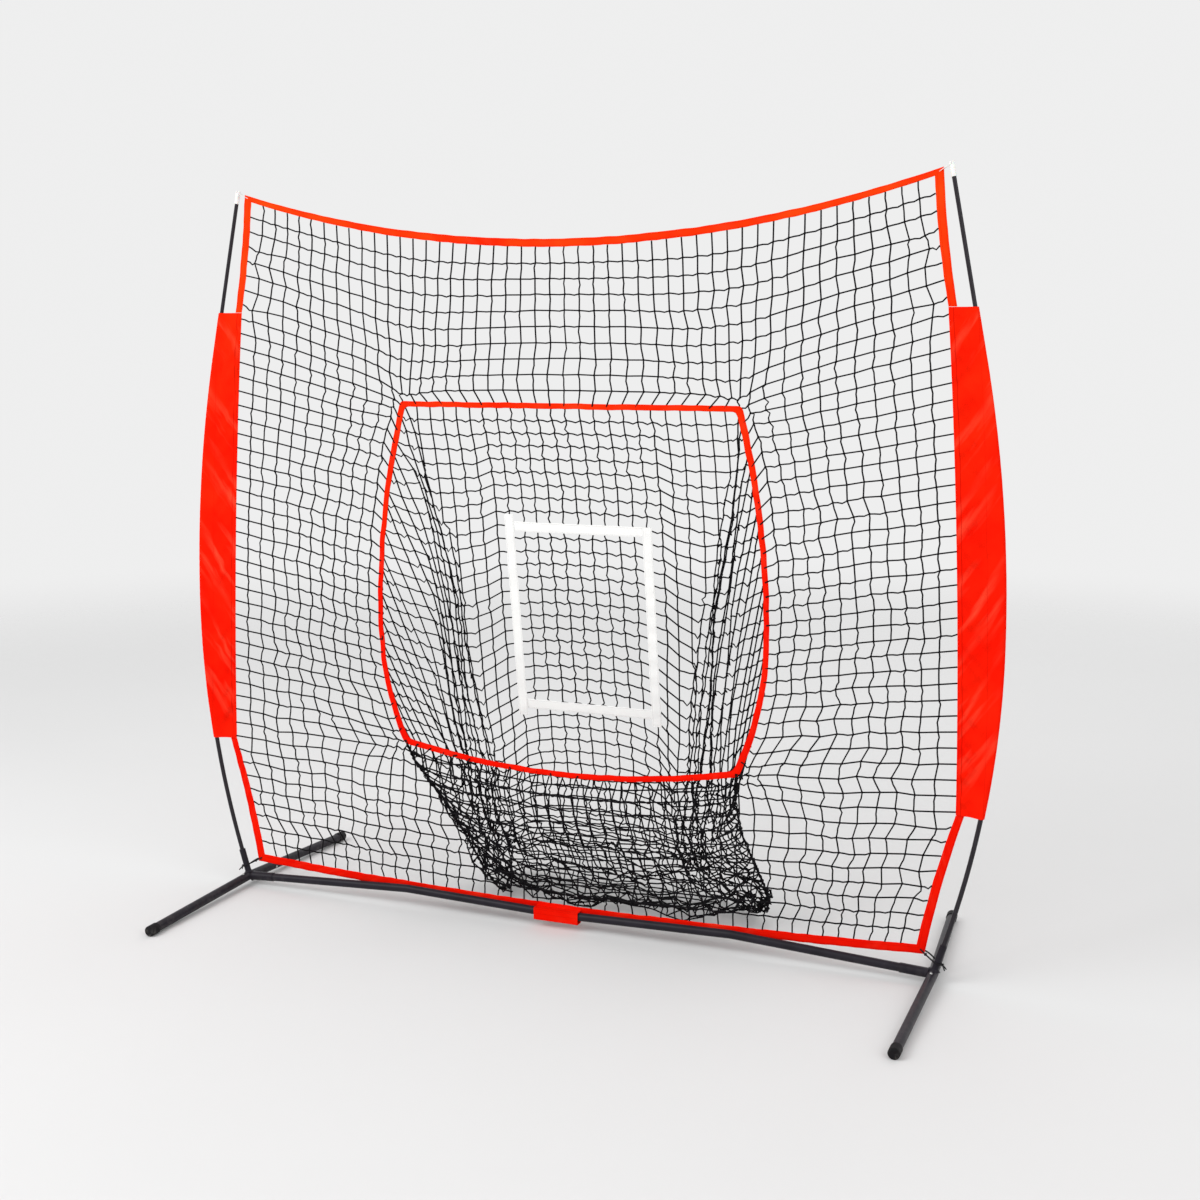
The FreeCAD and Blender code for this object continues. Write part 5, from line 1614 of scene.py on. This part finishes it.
def cord_finish(name, effects, base):
    """Braided elastic cord."""
    material, tree, shader = new_finish(name, roughness=0.7, Specular_IOR_Level=0.2)
    spot = object_place(tree)
    braid = add(tree, "ShaderNodeTexVoronoi", {"Vector": spot, "Scale": 900.0})
    uneven = use(tree, effects["mottle"], Vector=spot, Scale=200.0, Fine_Scale=1500.0)
    colour = blend_colour(tree, braid.outputs["Distance"], shade(base, 1.2), shade(base, 0.7))
    connect(tree, shader, colour, spread(tree, uneven["Grain"], 0.6, 0.85), braid.outputs["Distance"], 0.0004, 0.6)
    return material


# Paler colour of the slow patches in each cloth, partly random tone and partly painted sheen, and the dust on tubes and
# caps: its reach, its amount and its colour
SLEEVE_TONE_AND_SHEEN = (1.0, 0.016, 0.003, 1)
TAPE_TONE_AND_SHEEN = (0.95, 0.011, 0.002, 1)
WEBBING_TONE_AND_SHEEN = (0.95, 0.95, 0.93, 1)
TUBE_DUST = (0.045, 0.18, (0.3, 0.28, 0.25, 1))
CAP_DUST = (0.03, 0.4, (0.32, 0.3, 0.27, 1))

made_finishes = {}


def make_finishes(colours):
    """Every finish by its slot."""
    # The "pull" effect gives the painted highlight streaks on the cloth
    effects = {"mottle": mottle_effect(), "weave": weave_effect(), "stitches": stitch_effect(), "dust": dust_effect(),
               "pull": highlight_streak_effect()}
    worn_steel = shade(colours.steel, 0.7)
    return {
        "netting_black": mottled_finish(
            "twine_black", effects, colours.twine, (9.0, 900.0), (0.7, 1.7), (0.5, 0.75), (0.0004, 0.6),
            roughness=0.7, Specular_IOR_Level=0.05),
        "sleeve_red": fabric_finish(
            "sleeve_red", effects, colours.fabric, (1500.0, 1500.0), (0.004, 0.078), 0.5, SLEEVE_TONE_AND_SHEEN,
            streak_highlight=0.8, painted_light_high=0.22, hem_shade_line=0.013),
        "tape_red": fabric_finish(
            "tape_red", effects, colours.tape, (700.0, 520.0), (0.0035, 0.0165), 0.6, TAPE_TONE_AND_SHEEN,
            streak_highlight=0.25, painted_light_high=0.9),
        "strap_white": fabric_finish(
            "strap_white", effects, colours.webbing, (900.0, 500.0), (0.003, 0.026), 0.7, WEBBING_TONE_AND_SHEEN),
        "tube_black": mottled_finish(
            "tube_black", effects, colours.paint, (14.0, 520.0), (0.85, 1.35), (0.3, 0.48), (0.00015, 0.35),
            TUBE_DUST, roughness=0.4, Specular_IOR_Level=0.14),
        "cap_black": mottled_finish(
            "cap_black", effects, colours.rubber, (35.0, 900.0), (0.8, 1.6), (0.55, 0.8), (0.0003, 0.5),
            CAP_DUST, roughness=0.65, Specular_IOR_Level=0.14),
        "button_steel": mottled_finish(
            "button_steel", effects, colours.steel, (90.0, 1500.0), (0.8, 1.15), (0.28 - 0.08, 0.28 + 0.15),
            (0.0001, 0.3), roughness=0.28, metallic=1.0),
        "spring_steel": mottled_finish(
            "spring_steel", effects, worn_steel, (90.0, 1500.0), (0.8, 1.15), (0.4 - 0.08, 0.4 + 0.15),
            (0.0001, 0.3), roughness=0.4, metallic=1.0),
        "ferrule_black": rod_finish("ferrule_black", effects, colours.paint, 0.35),
        "pole_black": rod_finish("pole_black", effects, colours.rod, 0.32),
        "tip_white": mottled_finish(
            "tip_white", effects, colours.tip, (60.0, 800.0), (0.9, 1.1), (0.3, 0.5), (0.0001, 0.3),
            roughness=0.4, Subsurface_Weight=0.15, Subsurface_Scale=0.004),
        "tie_black": cord_finish("tie_black", effects, shade(colours.twine, 1.8)),
        "tie_white": cord_finish("tie_white", effects, colours.tip),
    }


def finishes():
    """Every finish by its slot, made at the first call."""
    if not made_finishes:
        made_finishes.update(make_finishes(bpy.context.scene.target_net_colours))
    return made_finishes


def dress_frame():
    """Puts each finish on the hard parts that keep their own shape."""
    made = finishes()
    slots = {part["node"]: part["material_slot"] for part in frame["record"]["subparts"]}
    for name, node in frame["nodes"].items():
        if name not in slots:
            raise RuntimeError(name + " has no material slot")
        node.data.materials.clear()
        node.data.materials.append(made[slots[name]])


# Stage

FLOOR_RADIUS = 9.0
FLOOR_FADE = (3.4, 8.4)
LIGHTS_AIM = (0, 0, 0.9)


def lay_stage(sizes):
    """Pale floor, soft light and the camera at the photograph's place."""
    scene = bpy.context.scene
    bpy.ops.object.select_all(action="DESELECT")
    bpy.ops.mesh.primitive_circle_add(vertices=96, radius=FLOOR_RADIUS, fill_type="NGON", location=(0, 0, -0.0006))
    floor = bpy.context.view_layer.objects.active
    floor.name = "stage_floor"
    bpy.ops.object.mode_set(mode="EDIT")
    bpy.ops.mesh.select_all(action="SELECT")
    bpy.ops.mesh.inset(thickness=1.0)
    bpy.ops.object.mode_set(mode="OBJECT")
    bpy.ops.object.transform_apply(location=True, rotation=True, scale=True)
    material, tree, shader = new_finish("stage_floor", roughness=0.9, Specular_IOR_Level=0.1)
    grain = noise(tree, object_place(tree), 0.8, 2.0)
    tone = blend_colour(tree, grain, shade(sizes.floor, 0.985), shade(sizes.floor, 1.015))
    tree.links.new(tone, shader.inputs["Base Color"])
    away = add(tree, "ShaderNodeVectorMath", {0: object_place(tree)}, operation="LENGTH").outputs["Value"]
    fade = span(tree, away, FLOOR_FADE[0], FLOOR_FADE[1], 1.0, 0.0)
    fade.node.interpolation_type = "SMOOTHSTEP"
    tree.links.new(fade, shader.inputs["Alpha"])
    floor.data.materials.append(material)
    world = bpy.data.worlds.new("stage_light")
    world.use_nodes = True
    backdrop = next(n for n in world.node_tree.nodes if n.type == "BACKGROUND")
    backdrop.inputs["Color"].default_value = (1, 1, 1, 1)
    backdrop.inputs["Strength"].default_value = sizes.sky
    scene.world = world
    for name, power, size, spot in (
        ("main_light", sizes.key, 4.0, (-3.5, -4.5, 5.0)),
        ("side_light", sizes.fill, 3.0, (4.5, -2.5, 3.5)),
        ("back_light", sizes.fill, 4.0, (0.5, 4.5, 4.5)),
    ):
        light = bpy.data.lights.new(name, "AREA")
        light.energy = power
        light.size = size
        lamp = bpy.data.objects.new(name, light)
        scene.collection.objects.link(lamp)
        lamp.location = spot
        x, y, z = np.array(LIGHTS_AIM) - np.array(spot)
        lamp.rotation_euler = (math.pi / 2 + math.atan2(z, math.hypot(x, y)), 0, math.atan2(y, x) - math.pi / 2)
    view = bpy.data.cameras.new("photo_camera")
    view.lens = sizes.lens
    view.sensor_width = 36.0
    view.clip_start = 0.05
    view.clip_end = 200
    camera = bpy.data.objects.new("photo_camera", view)
    scene.collection.objects.link(camera)
    camera.location = sizes.eye
    camera.rotation_euler = (math.pi / 2 - sizes.dip, 0, sizes.turn)
    scene.camera = camera
    scene.view_settings.view_transform = "Standard"
    scene.view_settings.look = "None"


# Operators


class TARGETNET_OT_lay_stage(bpy.types.Operator):
    """Lays the floor, sets the lights and places the camera"""

    bl_idname = "targetnet.lay_stage"
    bl_label = "Lay Stage"

    def execute(self, context):
        lay_stage(context.scene.target_net_stage)
        return {"FINISHED"}


class TARGETNET_OT_dress_frame(bpy.types.Operator):
    """Finishes the tubes, caps, poles, tips, buttons and springs"""

    bl_idname = "targetnet.dress_frame"
    bl_label = "Dress Frame"

    def execute(self, context):
        dress_frame()
        return {"FINISHED"}


class TARGETNET_OT_knot_net(bpy.types.Operator):
    """Knots the four panels of the flat net"""

    bl_idname = "targetnet.knot_net"
    bl_label = "Knot Net"

    def execute(self, context):
        flat_net(context.scene.target_net_netting, finishes()["netting_black"])
        return {"FINISHED"}


class TARGETNET_OT_hang_pocket(bpy.types.Operator):
    """Hangs the pocket's netting and lets it settle on the ground"""

    bl_idname = "targetnet.hang_pocket"
    bl_label = "Hang Pocket"

    def execute(self, context):
        scene = context.scene
        hang_pocket(scene.target_net_netting, scene.target_net_pocket, finishes()["netting_black"])
        return {"FINISHED"}


class TARGETNET_OT_sew_tapes(bpy.types.Operator):
    """Sews the bands and edge tapes round the net"""

    bl_idname = "targetnet.sew_tapes"
    bl_label = "Sew Tapes"

    def execute(self, context):
        sew_tapes(context.scene.target_net_fabric, finishes()["tape_red"])
        return {"FINISHED"}


class TARGETNET_OT_sew_binding(bpy.types.Operator):
    """Sews the binding round the opening"""

    bl_idname = "targetnet.sew_binding"
    bl_label = "Sew Binding"

    def execute(self, context):
        sew_binding(context.scene.target_net_fabric, finishes()["tape_red"])
        return {"FINISHED"}


class TARGETNET_OT_sew_sleeves(bpy.types.Operator):
    """Sews the two pole sleeves"""

    bl_idname = "targetnet.sew_sleeves"
    bl_label = "Sew Sleeves"

    def execute(self, context):
        for side in ("left", "right"):
            sew_sleeve(side, context.scene.target_net_fabric, finishes()["sleeve_red"])
        return {"FINISHED"}


class TARGETNET_OT_strap_zone(bpy.types.Operator):
    """Lays the four straps of the strike zone"""

    bl_idname = "targetnet.strap_zone"
    bl_label = "Strap Zone"

    def execute(self, context):
        strap_zone(context.scene.target_net_fabric, finishes()["strap_white"])
        return {"FINISHED"}


class TARGETNET_OT_tie_corners(bpy.types.Operator):
    """Ties the net's corners to the poles and the corner joints"""

    bl_idname = "targetnet.tie_corners"
    bl_label = "Tie Corners"

    def execute(self, context):
        made = finishes()
        tie_corners(made["tie_black"], made["tie_white"])
        return {"FINISHED"}


class TARGETNET_OT_fold_tab(bpy.types.Operator):
    """Folds the centre tab and its flap round the crossbar"""

    bl_idname = "targetnet.fold_tab"
    bl_label = "Fold Tab"

    def execute(self, context):
        fold_tab(finishes()["tape_red"])
        return {"FINISHED"}


STEPS = (
    TARGETNET_OT_lay_stage, TARGETNET_OT_dress_frame, TARGETNET_OT_knot_net, TARGETNET_OT_hang_pocket,
    TARGETNET_OT_sew_tapes, TARGETNET_OT_sew_binding, TARGETNET_OT_sew_sleeves, TARGETNET_OT_strap_zone,
    TARGETNET_OT_tie_corners, TARGETNET_OT_fold_tab,
)


class TARGETNET_PT_build(bpy.types.Panel):
    """Steps and sizes of the target net"""

    bl_label = "Target Net"
    bl_idname = "TARGETNET_PT_build"
    bl_space_type = "VIEW_3D"
    bl_region_type = "UI"
    bl_category = "Target Net"

    def draw(self, context):
        for step in STEPS:
            self.layout.operator(step.bl_idname)
        for name, (group, title) in GROUPS.items():
            box = self.layout.box()
            box.label(text=title)
            sizes = getattr(context.scene, name)
            for key in group.__annotations__:
                box.prop(sizes, key)


GROUPS = {
    "target_net_netting": (NettingSizes, "Netting"),
    "target_net_pocket": (PocketSizes, "Pocket"),
    "target_net_fabric": (FabricSizes, "Fabric"),
    "target_net_colours": (FinishColours, "Finishes"),
    "target_net_stage": (StageSizes, "Stage"),
}


def register():
    for name, (group, _) in GROUPS.items():
        bpy.utils.register_class(group)
        setattr(bpy.types.Scene, name, bpy.props.PointerProperty(type=group))
    for step in STEPS:
        bpy.utils.register_class(step)
    bpy.utils.register_class(TARGETNET_PT_build)


def unregister():
    bpy.utils.unregister_class(TARGETNET_PT_build)
    for step in reversed(STEPS):
        bpy.utils.unregister_class(step)
    for name, (group, _) in GROUPS.items():
        delattr(bpy.types.Scene, name)
        bpy.utils.unregister_class(group)


def main():
    register()
    for step in STEPS:
        family, action = step.bl_idname.split(".")
        getattr(getattr(bpy.ops, family), action)()


if __name__ == "__main__":
    main()
